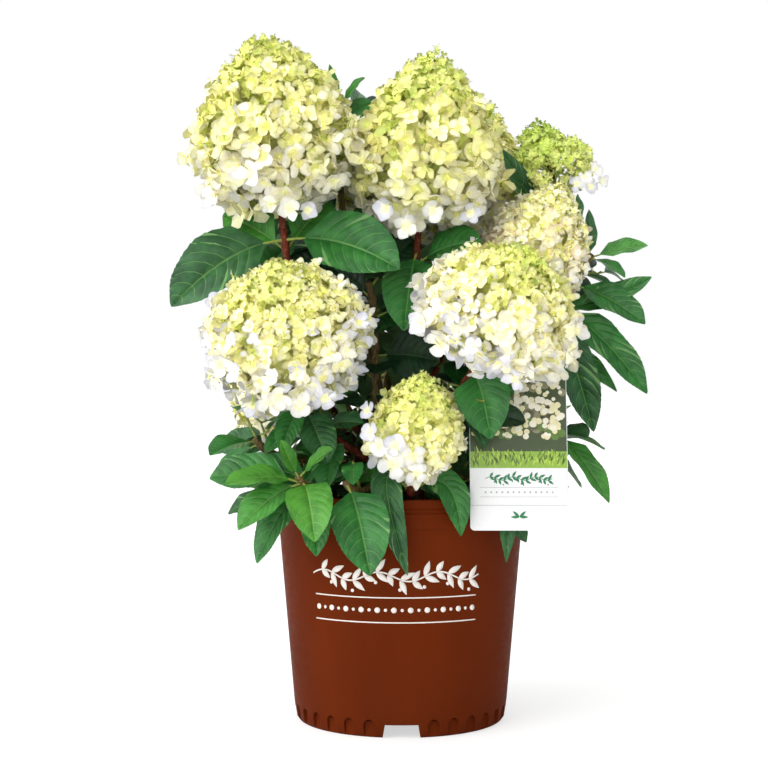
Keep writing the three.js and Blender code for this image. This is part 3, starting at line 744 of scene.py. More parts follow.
@dataclass
class Pot:
    """The round nursery pot, with its ridged rim, fluted foot and drain notches. Sizes are in millimetres."""

    height: float = 216.0
    rim_radius: float = 120.0
    body_top: float = 116.6
    body_foot: float = 101.5
    shoulder: float = 18.0
    foot_radius: float = 97.0
    band: float = 26.0
    wall: float = 3.0
    recess: float = 11.0
    recess_radius: float = 84.0
    pad_radius: float = 28.0
    segments: int = 160
    flutes: int = 32
    flute_radius: float = 5.4
    flute_top: float = 16.5
    flute_depth: float = 4.2
    notches: int = 4
    notch_foot: float = 38.0
    notch_top: float = 30.0
    notch_height: float = 12.2
    cutter_length: float = 20.0
    inset: float = 6.0

    def radius(self, height: Number) -> Number:
        """Returns the outer radius of the body at a height."""
        top = self.height - self.band
        return lerp(self.body_foot, self.body_top, (height - self.shoulder) / (top - self.shoulder))

    def profile(self) -> list[Pair]:
        """Lists the rings of the pot's outline.

        Returns:
            Radius and height of each, from the centre of the underside to the centre of the inner floor.
        """
        top, rim = self.height, self.rim_radius
        low = top - self.band
        inner = rim - self.wall - 1
        pad, recess, foot, body = self.pad_radius, self.recess_radius, self.foot_radius, self.body_foot
        rings = [(4, 0), (pad - 1, 0), (pad, 1), (pad + 4, self.recess), (recess, self.recess), (recess + 2, 1)]
        rings += [(recess + 3, 0), (foot - 1.2, 0), (foot, 0.7), (foot + 2.5, 4), (body - 0.5, self.shoulder - 4)]
        rings += [(body + 0.2, self.shoulder + 2), *((self.radius(at), at) for at in (70, 130, low - 4))]
        rings += [(self.body_top + 0.3, low - 1.4), (rim - 1.1, low - 0.2), (rim - 0.2, low + 1), (rim, low + 3)]
        for at in (top - 13, top - 9.4):
            rings += [(rim, at), (rim - 0.9, at + 0.8), (rim - 0.9, at + 1.8), (rim, at + 2.6)]
        rings += [(rim, top - 1.2), (rim - 0.8, top - 0.1), (inner + 0.8, top - 0.1), (inner, top - 1)]
        rings += [(self.body_top - self.wall, low - 4), (self.radius(self.recess + 4) - self.wall, self.recess + 4)]
        return [*rings, (4, self.recess + 4)]

    def flute(self, heading: float) -> Piece:
        """Makes the cutter of one arch-topped flute.

        Args:
            heading: Where it stands, in degrees.

        Returns:
            The cutter.
        """
        deselect()
        size = {"radius": self.flute_radius * MM, "depth": self.cutter_length * MM}
        bpy.ops.mesh.primitive_cylinder_add(vertices=20, rotation=(math.pi / 2, 0, 0), **size)
        cutter = settle(bpy.context.object)
        move_where(cutter, lambda co: co.z < -0.01 * MM, by=(0, 0, -self.flute_top * MM))
        reach = self.body_foot - self.flute_depth + self.cutter_length / 2
        return self.set_out(cutter, reach, self.flute_top - self.flute_radius, heading)

    def notch(self, heading: float) -> Piece:
        """Makes the cutter of one tapered drain notch.

        Args:
            heading: Where it stands, in degrees.

        Returns:
            The cutter.
        """
        deselect()
        depth = self.rim_radius - self.recess_radius + self.inset
        bpy.ops.mesh.primitive_cube_add(size=1)
        cutter = bpy.context.object
        cutter.scale = (self.notch_foot * MM, depth * MM, 2 * self.notch_height * MM)
        settle(cutter)
        narrow = self.notch_top / self.notch_foot
        move_where(cutter, lambda co: co.z > 0, scale=(narrow, 1, 1))
        return self.set_out(cutter, self.recess_radius - self.inset + depth / 2, 0, heading)

    @staticmethod
    def set_out(cutter: Piece, reach: float, height: float, heading: float) -> Piece:
        """Moves a cutter out to the front of the pot and turns it to its heading.

        Args:
            cutter: The cutter, at the origin.
            reach: How far out it goes.
            height: How far up it goes.
            heading: Where it is to stand, in degrees.

        Returns:
            The same cutter.
        """
        cutter.location = (0, -reach * MM, height * MM)
        settle(cutter)
        cutter.rotation_euler = (0, 0, math.radians(heading + 90))
        return settle(cutter)

    def build(self) -> None:
        """Builds the pot, cuts its foot and puts it in place."""
        pot = turned("pot_shell", self.profile(), self.segments)
        span = 360 / self.notches
        clear = self.notch_foot / 2 + self.flute_radius + 1
        cutters = [self.notch(270 + i * span) for i in range(self.notches)]
        for i in range(self.flutes):
            turn = (i + 0.5) * 360 / self.flutes
            from_notch = abs((turn + span / 2) % span - span / 2)
            if math.radians(from_notch) * self.foot_radius > clear:
                cutters.append(self.flute(270 + turn))
        cutter = join(cutters, "pot_cutters")
        apply_modifier(pot, "BOOLEAN", operation="DIFFERENCE", object=cutter, solver="EXACT", use_self=True)
        bpy.data.objects.remove(cutter)
        edges = {"width": 0.45 * MM, "segments": 2, "limit_method": "ANGLE", "angle_limit": math.radians(38)}
        apply_modifier(pot, "BEVEL", **edges)
        dress(pot, PotPlastic().material())
        smooth_by_angle(pot, 32)
        place(pot, "pot_plastic", ["pot"])


@dataclass
class Soil:
    """The bark mix that fills the pot, with loose chips on it."""

    pot: Pot
    height: float = 198.0
    rise: float = 2.0
    chips: int = 900
    chip_low: Triple = (2.4, 1.12, 0.4)
    chip_high: Triple = (7.2, 3.2, 1.28)
    clear: float = 7.0
    seed: int = 11

    def chip_sheaf(self) -> Sheaf:
        """Makes the loose chips: bent boxes that lie on the mix at all turns.

        Returns:
            The chips in one sheaf.
        """
        rng = np.random.default_rng(self.seed)
        inner = self.pot.radius(self.height) - self.pot.wall - self.clear
        radius = inner * np.sqrt(rng.uniform(0.05, 1, self.chips))
        turn = rng.uniform(0, 2 * np.pi, self.chips)
        centre = np.stack([radius * np.cos(turn), radius * np.sin(turn), np.zeros(self.chips)], axis=1)
        centre[:, 2] = self.height + 0.6 + rng.uniform(0, 2.2, self.chips)
        axis = unit(UP + rng.normal(0, 0.3, (self.chips, 3)))
        right = around(*across(axis), rng.uniform(0, 2 * np.pi, (self.chips, 1)))
        other = np.cross(axis, right)
        size = rng.uniform(self.chip_low, self.chip_high, (self.chips, 3))
        corners = np.array([[x, y, z] for z in (-1, 1) for y in (-1, 1) for x in (-1, 1)], float)
        jag = corners[None] * rng.uniform(0.55, 1.1, (self.chips, 8, 3)) * size[:, None]
        frames = np.stack([right, other, axis], axis=1)
        points = centre[:, None] + np.einsum("npk,nkj->npj", jag, frames)
        faces = np.array([[0, 2, 3, 1], [4, 5, 7, 6], [0, 1, 5, 4], [2, 6, 7, 3], [0, 4, 6, 2], [1, 3, 7, 5]])
        every = (faces[None] + 8 * np.arange(self.chips)[:, None, None]).reshape(-1, 4)
        sheaf = Sheaf()
        sheaf.add(points.reshape(-1, 3), every, np.repeat(rng.integers(0, 3, self.chips), 6))
        return sheaf

    def build(self) -> None:
        """Builds the mix and its chips and puts them in place."""
        top, wall = self.height, self.pot.wall + 0.6
        deep = self.pot.recess + 5
        rings = [(4, deep), (self.pot.radius(deep) - wall, deep), (self.pot.radius(top) - wall - 1, top - 9)]
        edge = self.pot.radius(top) - wall - 2
        rings += [(lerp(edge, 6, i / 24), top - 1 + 1.5 * (i / 24)) for i in range(25)]
        mix = turned("soil_mix", rings, 96)
        texture = bpy.data.textures.new("crumbly", "CLOUDS")
        texture.noise_scale = 7 * MM
        texture.noise_depth = 3
        group = mix.vertex_groups.new(name="top")
        group.add([v.index for v in mix.data.vertices if v.co.z > (top - 2) * MM], 1.0, "REPLACE")
        apply_modifier(mix, "DISPLACE", texture=texture, strength=4 * MM, mid_level=0.6, vertex_group="top")
        dress(mix, Crumbs("potting_mix", "120b07", "35241a").material())
        smooth_by_angle(mix, 40)
        place(mix, "potting_mix", ["soil"])
        tones = (
            ("chip_dark", "1d120b", "3d2a1d"),
            ("chip_brown", "35231a", "5d412c"),
            ("chip_pale", "4b3626", "7d6148"),
        )
        finishes = [Crumbs(name, dark, light, 700.0).material() for name, dark, light in tones]
        place(self.chip_sheaf().piece("soil_chips", finishes, smooth=False), "potting_mix")


# Print


def strip(line: Array, width: float) -> Flat:
    """Returns the points and the quads of a flat strip along a line of points (x, height)."""
    aside = unit(np.gradient(line, axis=0))[:, ::-1] * [-1, 1] * width / 2
    return np.stack([line + aside, line - aside], axis=1).reshape(-1, 2), lattice(len(line), 2)


def leaflet(root: Array, degrees: float, length: float, width: float) -> Flat:
    """Makes a flat pointed leaflet.

    Args:
        root: Where it starts.
        degrees: Its angle from level.
        length: Its length.
        width: Its greatest width.

    Returns:
        Its points and its quads.
    """
    share = np.linspace(0, 1, 7)
    half = width / 2 * np.sin(np.pi * share**0.85)
    along = np.array([math.cos(math.radians(degrees)), math.sin(math.radians(degrees))])
    aside = np.array([-along[1], along[0]])
    middle = root + along * (share * length)[:, None]
    points = np.stack([middle + aside * half[:, None], middle - aside * half[:, None]], axis=1).reshape(-1, 2)
    return points, lattice(7, 2)


def disc(centre: Sequence[float], radius: float, corners: int = 12) -> Flat:
    """Makes a flat disc.

    Args:
        centre: Its middle.
        radius: Its radius.
        corners: How many corners it has.

    Returns:
        Its points and its triangles.
    """
    angle = 2 * np.pi * np.arange(corners) / corners
    rim = np.asarray(centre) + radius * np.stack([np.cos(angle), np.sin(angle)], axis=1)
    corner = np.arange(corners)
    faces = np.stack([corner, (corner + 1) % corners, np.full(corners, corners)], axis=1)
    return np.concatenate([rim, [centre]]), faces


def garland(left: float, right: float, height: float, swing: float, leaf: float) -> list[Flat]:
    """Returns a plain garland: a waved stem with paired leaflets and a berry at each crest.

    Args:
        left: Where it starts.
        right: Where it ends.
        height: The height of its middle line.
        swing: How far the stem waves up and down.
        leaf: The length of a leaflet.

    Returns:
        Its flat shapes, each with points and faces.
    """
    x = np.linspace(left, right, 61)
    waves = 3 * 2 * np.pi / (right - left)
    stem = np.stack([x, height + swing * np.sin((x - left) * waves)], axis=1)
    shapes = [strip(stem, leaf * 0.09)]
    for i, at in enumerate(range(4, 58, 4)):
        root = stem[at]
        slope = math.degrees(math.atan(swing * waves * math.cos((x[at] - left) * waves)))
        for side in (-1, 1):
            size = leaf * (0.8 + 0.2 * (i % 2))
            shapes.append(leaflet(root, slope + side * 46, size, leaf * 0.36))
        if i % 2:
            shapes.append(disc(root + [0, -leaf * 0.62], leaf * 0.11, 10))
    return shapes


def rule(left: float, right: float, height: float, width: float) -> Flat:
    """Returns a thin level rule."""
    x = np.linspace(left, right, 41)
    return strip(np.stack([x, np.full(41, height)], axis=1), width)


@dataclass
class PotPrint:
    """The white print on the front of the pot: a garland over two rules with a row of beads between them."""

    pot: Pot
    left: float = -89.0
    right: float = 75.0
    upper: float = 128.0
    lower: float = 105.5
    proud: float = 0.16

    def wrap(self, flat: Array) -> Array:
        """Lays flat print on the front of the pot.

        Args:
            flat: Points (x, height).

        Returns:
            The points in space.
        """
        radius = self.pot.radius(flat[:, 1])
        turn = math.radians(270) + flat[:, 0] / radius
        reach = radius + self.proud
        return np.stack([reach * np.cos(turn), reach * np.sin(turn), flat[:, 1]], axis=1)

    def build(self) -> None:
        """Builds the print and puts it in place."""
        shapes = garland(self.left, self.right, 147.0, 4.2, 15.0)
        shapes += [rule(self.left + 3, self.right - 3, at, 1.1) for at in (self.upper, self.lower)]
        middle = (self.upper + self.lower) / 2
        beads = np.linspace(self.left + 7, self.right - 7, 21)
        shapes += [disc((x, middle), 2.6 - 1.1 * (i % 2)) for i, x in enumerate(beads)]
        sheaf = Sheaf()
        for points, faces in shapes:
            sheaf.add(self.wrap(points), faces, 0)
        ink = Mottled("white_ink", "efe9e2", 0.5, 0.4, spread=0.93).material()
        made = sheaf.piece("pot_print", [ink])
        activate(made)
        enter("EDIT")
        face_out()
        face_outwards(made)
        apply_modifier(made, "SOLIDIFY", thickness=0.3 * MM, offset=-1)
        place(made, "pot_plastic")


def face_outwards(piece: Piece) -> None:
    """Turns each face of flat print that looks to the back of the plant round to its front.

    Args:
        piece: The print.
    """
    activate(piece)
    enter("EDIT")
    bpy.ops.mesh.select_mode(type="FACE")
    bpy.ops.mesh.select_all(action="DESELECT")
    enter("OBJECT")
    for polygon in piece.data.polygons:
        polygon.select = polygon.normal.y > 0
    enter("EDIT")
    bpy.ops.mesh.flip_normals()
    enter("OBJECT")


@dataclass
class Label:
    """The card that leans in front of the rim, with a plain printed panel and a hook over the rim."""

    width: float = 88.0
    height: float = 146.0
    thickness: float = 0.9
    corner: float = 4.0
    lean: float = 10.0
    left: float = 61.0
    rim_y: float = -106.0
    foot: float = 188.0
    rim_height: float = 216.0
    gap: float = 0.3
    hook_width: float = 12.0
    hook_thickness: float = 1.2
    hook_drop: float = 10.0
    hook_y: float = -80.0
    panel: float = 56.0
    margin: float = 0.6
    grass: float = 15.0
    seed: int = 5

    def lay(self, flat: Array, proud: float) -> Array:
        """Lays flat print on the face of the card.

        Args:
            flat: Points (x, height).
            proud: How far they stand out of the face.

        Returns:
            The points in space.
        """
        lean = math.radians(self.lean)
        foot_y = self.rim_y - (self.rim_height - self.foot) * math.tan(lean)
        out = self.thickness + proud
        y = foot_y + flat[:, 1] * math.sin(lean) - out * math.cos(lean)
        z = self.foot + flat[:, 1] * math.cos(lean) + out * math.sin(lean)
        return np.stack([self.left + flat[:, 0], y, z], axis=1)

    def card(self) -> Piece:
        """Makes the bare card with its round corners.

        Returns:
            The card.
        """
        deselect()
        bpy.ops.mesh.primitive_plane_add(size=1, rotation=(math.pi / 2, 0, 0))
        card = bpy.context.object
        card.scale = (self.width * MM, self.height * MM, 1)
        settle(card)
        enter("EDIT")
        bpy.ops.mesh.select_all(action="SELECT")
        bpy.ops.mesh.bevel(offset=self.corner * MM, segments=6, affect="VERTICES")
        enter("OBJECT")
        apply_modifier(card, "SOLIDIFY", thickness=self.thickness * MM, offset=0)
        apply_modifier(card, "BEVEL", width=0.2 * MM, segments=2)
        card.location = (self.width / 2 * MM, -self.thickness / 2 * MM, self.height / 2 * MM)
        settle(card)
        card.rotation_euler = (math.radians(-self.lean), 0, 0)
        foot_y = self.rim_y - (self.rim_height - self.foot) * math.tan(math.radians(self.lean))
        card.location = (self.left * MM, foot_y * MM, self.foot * MM)
        return settle(card)

    def hook(self) -> list[Piece]:
        """Makes the hook.

        Returns:
            The strap over the rim, and its inner leg.
        """
        left = self.left + self.corner
        right = left + self.hook_width
        low = self.rim_height + self.gap
        top = low + self.hook_thickness
        far = (right, self.hook_y, top)
        back = self.hook_y - self.hook_thickness
        pieces = []
        for near in ((left, self.rim_y - 0.5, low), (left, back, low - self.hook_drop)):
            deselect()
            bpy.ops.mesh.primitive_cube_add(size=1, location=[(a + b) / 2 * MM for a, b in zip(near, far)])
            piece = bpy.context.object
            piece.scale = [(b - a) * MM for a, b in zip(near, far)]
            apply_modifier(settle(piece), "BEVEL", width=0.3 * MM, segments=2)
            pieces.append(piece)
        return pieces

    def print_sheaf(self) -> Sheaf:
        """Makes the printed panel: ground, grass, round blossoms, rules and a small garland.

        Returns:
            The print in one sheaf.
        """
        rng = np.random.default_rng(self.seed)
        sheaf = Sheaf()

        def lay_all(shapes: Iterable[Flat], slot: int, proud: float) -> None:
            """Lays shapes of one ink on the card."""
            for points, faces in shapes:
                sheaf.add(self.lay(np.asarray(points, float), proud), faces, slot)

        def ground(high: float) -> Flat:
            """Returns a plain field from the panel's foot to a height."""
            left, right, low = self.margin, self.width - self.margin, self.panel
            return np.array([[left, low], [right, low], [right, high], [left, high]]), np.array([[0, 1, 2, 3]])

        low = self.panel
        lay_all([ground(self.height - self.margin)], 1, 0.06)
        blobs = [disc(rng.uniform([4, 92], [84, 142]), rng.uniform(2.5, 7)) for _ in range(60)]
        lay_all(blobs, 2, 0.08)
        shrubs = [disc((x, 92 + 7 * math.sin(x / 7)), 3.8) for x in np.linspace(5, 83, 14)]
        lay_all(shrubs, 3, 0.09)
        for slot, count, proud in ((4, 130, 0.1), (5, 90, 0.15)):
            for i, spot in enumerate(rng.uniform([4, 84], [84, 142], (count, 2))):
                lay_all([disc(spot, rng.uniform(1.6, 3.2))], slot, proud + 0.0003 * i)
        lay_all([ground(low + self.grass)], 6, 0.19)
        blades = []
        for _ in range(130):
            root = np.array([rng.uniform(3, 85), low + rng.uniform(0.5, 12)])
            blades.append(leaflet(root, rng.uniform(58, 122), rng.uniform(5, 9), 1.3))
        lay_all(blades[::2], 7, 0.21)
        lay_all(blades[1::2], 3, 0.21)
        lay_all([rule(9, 79, 38.5, 0.35), rule(9, 79, 30.0, 0.35), rule(1.5, 86.5, 22.5, 0.4)], 8, 0.06)
        lay_all(garland(14, 74, 46.5, 1.6, 6.4), 9, 0.07)
        lay_all([disc((x, 34.2), 0.9, 10) for x in np.linspace(14, 74, 13)], 8, 0.07)
        lay_all([leaflet(np.array([44.0, 12.0]), turn, 8.0, 2.6) for turn in (0, 42, 138, 180)], 9, 0.07)
        return sheaf

    def build(self) -> None:
        """Builds the card, its hook and its print and puts them in place."""
        card = join([self.card(), *self.hook()], "label_card")
        dress(card, Mottled("white_card", "e9eaeb", 0.32, 0.5, coat=0.25, spread=0.97, depth=0.05).material())
        smooth_by_angle(card, 35)
        place(card, "label_card", ["label"])
        tones = ("e9eaeb", "3f4f2b", "8c8b6a", "5d7f2e", "efe6b8", "f7f3de", "8fb53c", "b7d455", "a9aaae", "1f7a4c")
        inks = [Mottled(f"label_ink_{i}", tone, 0.35, 0.5, spread=0.9).material() for i, tone in enumerate(tones)]
        made = self.print_sheaf().piece("label_print", inks)
        face_outwards(made)
        place(made, "label_card")


# The plant's form


class Curve:
    """A Bezier curve that is also read by shares of its length."""

    def __init__(self, *controls: Array) -> None:
        """Keeps the control points and measures the curve.

        Args:
            *controls: Its control points, from end to end.
        """
        self.controls = np.array(controls, float)
        self.steps = np.linspace(0, 1, 201)
        spans = np.linalg.norm(np.diff(self.point(self.steps), axis=0), axis=1)
        self.lengths = np.concatenate([[0], np.cumsum(spans)])
        self.length = float(self.lengths[-1])

    @staticmethod
    def mix(controls: Array, share: Number) -> Array:
        """Blends control points by Bezier's rule.

        Args:
            controls: The control points.
            share: The share of the curve's own run.

        Returns:
            The blend at each share.
        """
        share = np.asarray(share, float)[..., None]
        last = len(controls) - 1
        return sum(
            math.comb(last, i) * (1 - share) ** (last - i) * share**i * control for i, control in enumerate(controls)
        )

    def point(self, share: Number) -> Array:
        """Returns the point at a share of the curve's own run."""
        return self.mix(self.controls, share)

    def tangent(self, share: Number) -> Array:
        """Returns the direction at a share of the curve's own run."""
        return unit(self.mix(np.diff(self.controls, axis=0), share))

    def run(self, share: Number) -> Number:
        """Returns the share of the curve's own run that lies at a share of its length."""
        return np.interp(np.asarray(share) * self.length, self.lengths, self.steps)

    def reach(self, share: Number) -> Array:
        """Returns the point at a share of its length."""
        return self.point(self.run(share))


class Ring(Enum):
    """The rings of cane starts on the trunk's head, by their angle above the horizon."""

    LOW = 12
    MIDDLE = 42
    HIGH = 72


@dataclass(frozen=True)
class Head:
    """A flower head: a cone with a round underside, its florets and its colours. Sizes are in millimetres.

    Its florets keep their size up to the share even of the height and shrink towards the tip, to the share least.
    """

    centre: Triple
    size: Pair
    lean: float
    heading: float
    point: float = 1.9
    fade: Triple = (0.5, 4.6, 1.4)
    floret: float = 11.5
    # A head's tint goes to a share of its pale florets; where the tint is COOL or PEACH and the share is large, it is
    # painted shade.
    tint: Petal = Petal.COOL
    tinted: float = 0.35
    ruffled: float = 0.15
    cover: float = 2.1
    seed: int = 3
    widest: float = 0.34
    under_curve: float = 2.2
    tip_curve: float = 0.85
    least: float = 0.29
    even: float = 0.12
    shrink: float = 1.3
    bands: int = 80

    @property
    def axis(self) -> Array:
        """The direction from the foot to the tip."""
        return direction(self.heading, 90 - self.lean)

    @property
    def foot(self) -> Array:
        """The point where the head starts on its stalk."""
        return np.array(self.centre) - self.axis * self.size[1] / 2

    def radius(self, h: Number) -> Array:
        """Finds the radius of the head.

        Args:
            h: The share of its height.

        Returns:
            The radius there.
        """
        h = np.clip(h, 0, 1)
        below = np.sqrt(np.maximum(0, 1 - np.maximum(0, (self.widest - h) / self.widest) ** self.under_curve))
        above = np.maximum(0, (h - self.widest) / (1 - self.widest))
        return self.size[0] / 2 * np.where(h < self.widest, below, (1 - above**self.point) ** self.tip_curve)

    def slope(self, h: Number) -> Array:
        """Returns how fast the radius grows with the share of the height."""
        return (self.radius(h + 0.01) - self.radius(h - 0.01)) / 0.02

    def outward(self, turn: Number) -> Array:
        """Returns the directions straight out from the axis, at angles round it."""
        return around(*across(self.axis), np.asarray(turn, float)[..., None])

    def lumps(self, h: Number, turn: Number) -> Array:
        """Finds how far its side branches push the surface out.

        Args:
            h: The share of its height.
            turn: The angle round its axis.

        Returns:
            A factor close to 1.
        """
        rng = np.random.default_rng(self.seed)
        waves = 0.0
        for folds, bands in ((2, 1.1), (3, 2.3), (5, 3.4), (8, 5.2)):
            first, second = rng.uniform(0, 2 * np.pi, 2)
            waves = waves + np.cos(folds * turn + 2 * bands * h + first) * np.cos(np.pi * bands * h + second)
        return 1 + 0.03 * waves

    def surface(self, h: Number, turn: Number, share: Number) -> Array:
        """Returns points on the head, drawn in from its surface to a share of it."""
        rise = self.size[1] * (0.5 + (h - 0.5) * share)
        return self.foot + self.axis * rise[..., None] + self.outward(turn) * (self.radius(h) * share)[..., None]

    def normal(self, h: Number, turn: Number) -> Array:
        """Returns the directions that the surface faces."""
        return unit(self.outward(turn) - self.axis * (self.slope(h) / self.size[1])[..., None])

    def floret_size(self, h: Number) -> Array:
        """Returns the size of a floret at a share of the height, where 1 is its size at the foot."""
        return lerp(1, self.least, np.clip((h - self.even) / (1 - self.even), 0, 1) ** self.shrink)

    def places(self, cover: float) -> tuple[Array, Array]:
        """Spreads florets evenly over the head, closer where they are smaller.

        Args:
            cover: How many times over they cover the surface.

        Returns:
            The share of the height of each, and its angle round the axis.
        """
        h = (np.arange(self.bands) + 0.5) / self.bands
        band = 2 * np.pi * self.radius(h) * np.hypot(self.slope(h), self.size[1]) / self.bands
        sums = np.concatenate([[0], np.cumsum(band / self.floret_size(h) ** 2)])
        count = int(cover * sums[-1] / (np.pi * self.floret**2))
        wanted = sums[-1] * (np.arange(count) + 0.5) / count
        return np.interp(wanted, sums, np.linspace(0, 1, self.bands + 1)), np.arange(count) * GOLDEN_ANGLE

    def holds(self, points: Array, share: float) -> Array:
        """Tells which points lie inside the head, drawn in to a share.

        Args:
            points: The points.
            share: How much of the head counts.

        Returns:
            Whether each point lies inside.
        """
        offset = points - self.foot
        rise = offset @ self.axis
        aside = np.linalg.norm(offset - rise[:, None] * self.axis, axis=1)
        h = rise / self.size[1]
        return (h > 0.02) & (h < 1) & (aside < self.radius(h) * share)


@dataclass(frozen=True)
class LeafRule:
    """How the leaves of a cane stand: pairs, length, first turn, angle from the cane, sag and facing."""

    pairs: int
    length: float
    turn: float
    splay: float
    sag: float
    facing: float


@dataclass(frozen=True)
class Shown:
    """A leaf that stands out in the view of the front: its place on the cane, tip, width and arch."""

    at: float
    tip: Triple
    width: float
    arch: float
    facing: Pair
    green: Green = Green.MID
    sway: float = 0.0


@dataclass
class Cane:
    """A cane with its leaves, which ends in a flower head or in its own tip."""

    place: str
    ring: Ring
    rule: LeafRule
    shown: tuple[Shown, ...] = ()
    head: Optional[Head] = None
    tip: Triple = (0.0, 0.0, 0.0)
    rake: float = 0.8
    greens: tuple[Green, ...] = (Green.DEEP, Green.MID)
    gap: float = 0.3
    stalk: float = 14.0
    set_off: float = 0.34
    run_in: float = 0.3
    curve: Optional[Curve] = None

    @property
    def mass(self) -> str:
        """The name of the node that holds its leaves."""
        return ("leaves_" if self.head else "leafy_") + self.place

    @property
    def split(self) -> float:
        """The share of its length where its first leaves may stand."""
        return 0.55 if self.head else 0.0

    def bend(self, start: Array, centre: Array, radius: float) -> None:
        """Lays the cane's curve to the foot of its flower head or to its tip.

        Args:
            start: The direction from which it leaves the trunk's head.
            centre: The middle of the trunk's head.
            radius: The radius of the trunk's head.
        """
        foot = centre + start * (radius + self.gap)
        tip = np.array(self.tip, float)
        if self.head:
            end = self.head.axis
            tip = self.head.foot - end * self.stalk
        else:
            flat = (tip - foot) * [1, 1, 0]
            end = unit(flat / np.linalg.norm(flat) * self.rake + UP)
        reach = np.linalg.norm(tip - foot)
        self.curve = Curve(foot, foot + start * reach * self.set_off, tip - end * reach * self.run_in, tip)


# K is the first green, the painted shade of leaves deep inside the crown.
K, D, M, F, Y = Green
FLOWERING = [
    Cane("upper_left", Ring.MIDDLE, LeafRule(3, 92, 10, 74, 0.5, 268), (
        Shown(0.96, (-207, -98, 388), 62, 26, (258, 18), D), Shown(0.96, (-2, -104, 421), 62, 22, (272, 20), M),
        Shown(0.92, (-166, -46, 476), 46, 8, (262, 16), F), Shown(0.92, (-66, -30, 492), 46, 6, (276, 14), F),
    ), Head((-119, -66, 561), (155, 173), 6, 190, 1.85, (0.7, 4.7, 0.85), 12.5, tint=Petal.CREAM, ruffled=0.5)),
    Cane("upper_centre", Ring.HIGH, LeafRule(3, 96, 70, 72, 0.75, 270), (
        Shown(0.96, (2, -100, 366), 50, 20, (262, 12), M), Shown(0.9, (72, -84, 446), 44, 14, (280, 40), M),
    ), Head((24, -48, 550), (141, 174), 5, 350, 1.7, (1.3, 5.2, 0.9), 12.5, tint=Petal.IVORY, ruffled=0.4)),
    Cane("middle_right", Ring.MIDDLE, LeafRule(2, 80, 30, 80, 0.9, 270), (
        Shown(0.96, (78, -128, 270), 50, 30, (268, 10), M),
    # tinted=0.5 gives half of the pale florets the greyed COOL tone: painted shade on this head.
    ), Head((89, -146, 391), (155, 114), 34, 310, fade=(0.6, 5.0, 2.1), floret=12.0, tinted=0.5)),
    Cane("middle_left", Ring.LOW, LeafRule(2, 82, 60, 78, 0.7, 250), (
        Shown(0.9, (-108, -112, 258), 24, 8, (262, 10), M), Shown(0.86, (-66, -114, 248), 34, 10, (275, 20), D),
    # tinted=0.5 gives half of the pale florets the greyed COOL tone: painted shade on this head.
    ), Head((-102, -140, 372), (153, 130), 40, 262, fade=(0.6, 4.4, 1.9), floret=12.0, tinted=0.5)),
    Cane("lower_centre", Ring.LOW, LeafRule(2, 70, 15, 75, 0.8, 270), (
        Shown(0.93, (52, -124, 184), 30, 52, (285, 25), M, 18), Shown(0.93, (5, -138, 151), 28, 90, (265, 15), D, -40),
    ), Head((14, -132, 286), (86, 98), 22, 285, fade=(0.8, 5.0, 0.8), floret=9.5)),
    Cane("right", Ring.MIDDLE, LeafRule(3, 82, 20, 72, 0.35, 300), (),
        # The darkened PEACH tone on 65% of the pale florets is painted shade on this head, which lies in the shade of
        # the heads before it.
        Head((132, -22, 456), (104, 122), 22, 340, 1.9, (0.6, 3.0, 1.1), 9.5, Petal.PEACH, 0.65, 0.3)),
    Cane("upper_right", Ring.MIDDLE, LeafRule(3, 78, 50, 68, 0.45, 320), (
        Shown(0.84, (98, -4, 543), 26, -6, (280, 10), D), Shown(0.92, (170, 6, 500), 28, 6, (290, 40), M),
    ), Head((145, 34, 533), (88, 78), 24, 190, 1.8, fade=(3.0, 6.4, 0.8), floret=4.8)),
    Cane("upper_back_right", Ring.HIGH, LeafRule(3, 84, 20, 70, 0.5, 60), (),
        Head((80, 64, 537), (88, 138), 8, 10, 1.7, fade=(0.6, 4.6, 1.2), tint=Petal.PEACH)),
    Cane("upper_back_left", Ring.HIGH, LeafRule(3, 86, 80, 70, 0.55, 120), (),
        Head((-50, 64, 536), (98, 118), 10, 120)),
    Cane("back_left", Ring.LOW, LeafRule(3, 88, 30, 74, 0.6, 140), (), Head((-116, 108, 384), (142, 138), 34, 140)),
    Cane("back", Ring.HIGH, LeafRule(3, 98, 0, 74, 0.6, 90), (), Head((14, 144, 530), (146, 160), 14, 92)),
    Cane("back_right", Ring.MIDDLE, LeafRule(3, 88, 60, 76, 0.6, 45), (), Head((116, 126, 408), (138, 136), 34, 45)),
    Cane("lower_back", Ring.LOW, LeafRule(2, 80, 20, 76, 0.7, 90), (), Head((12, 158, 296), (112, 114), 44, 85)),
    Cane("lower_left", Ring.LOW, LeafRule(2, 78, 40, 76, 0.7, 180), (), Head((-128, 34, 318), (98, 104), 50, 170)),
]
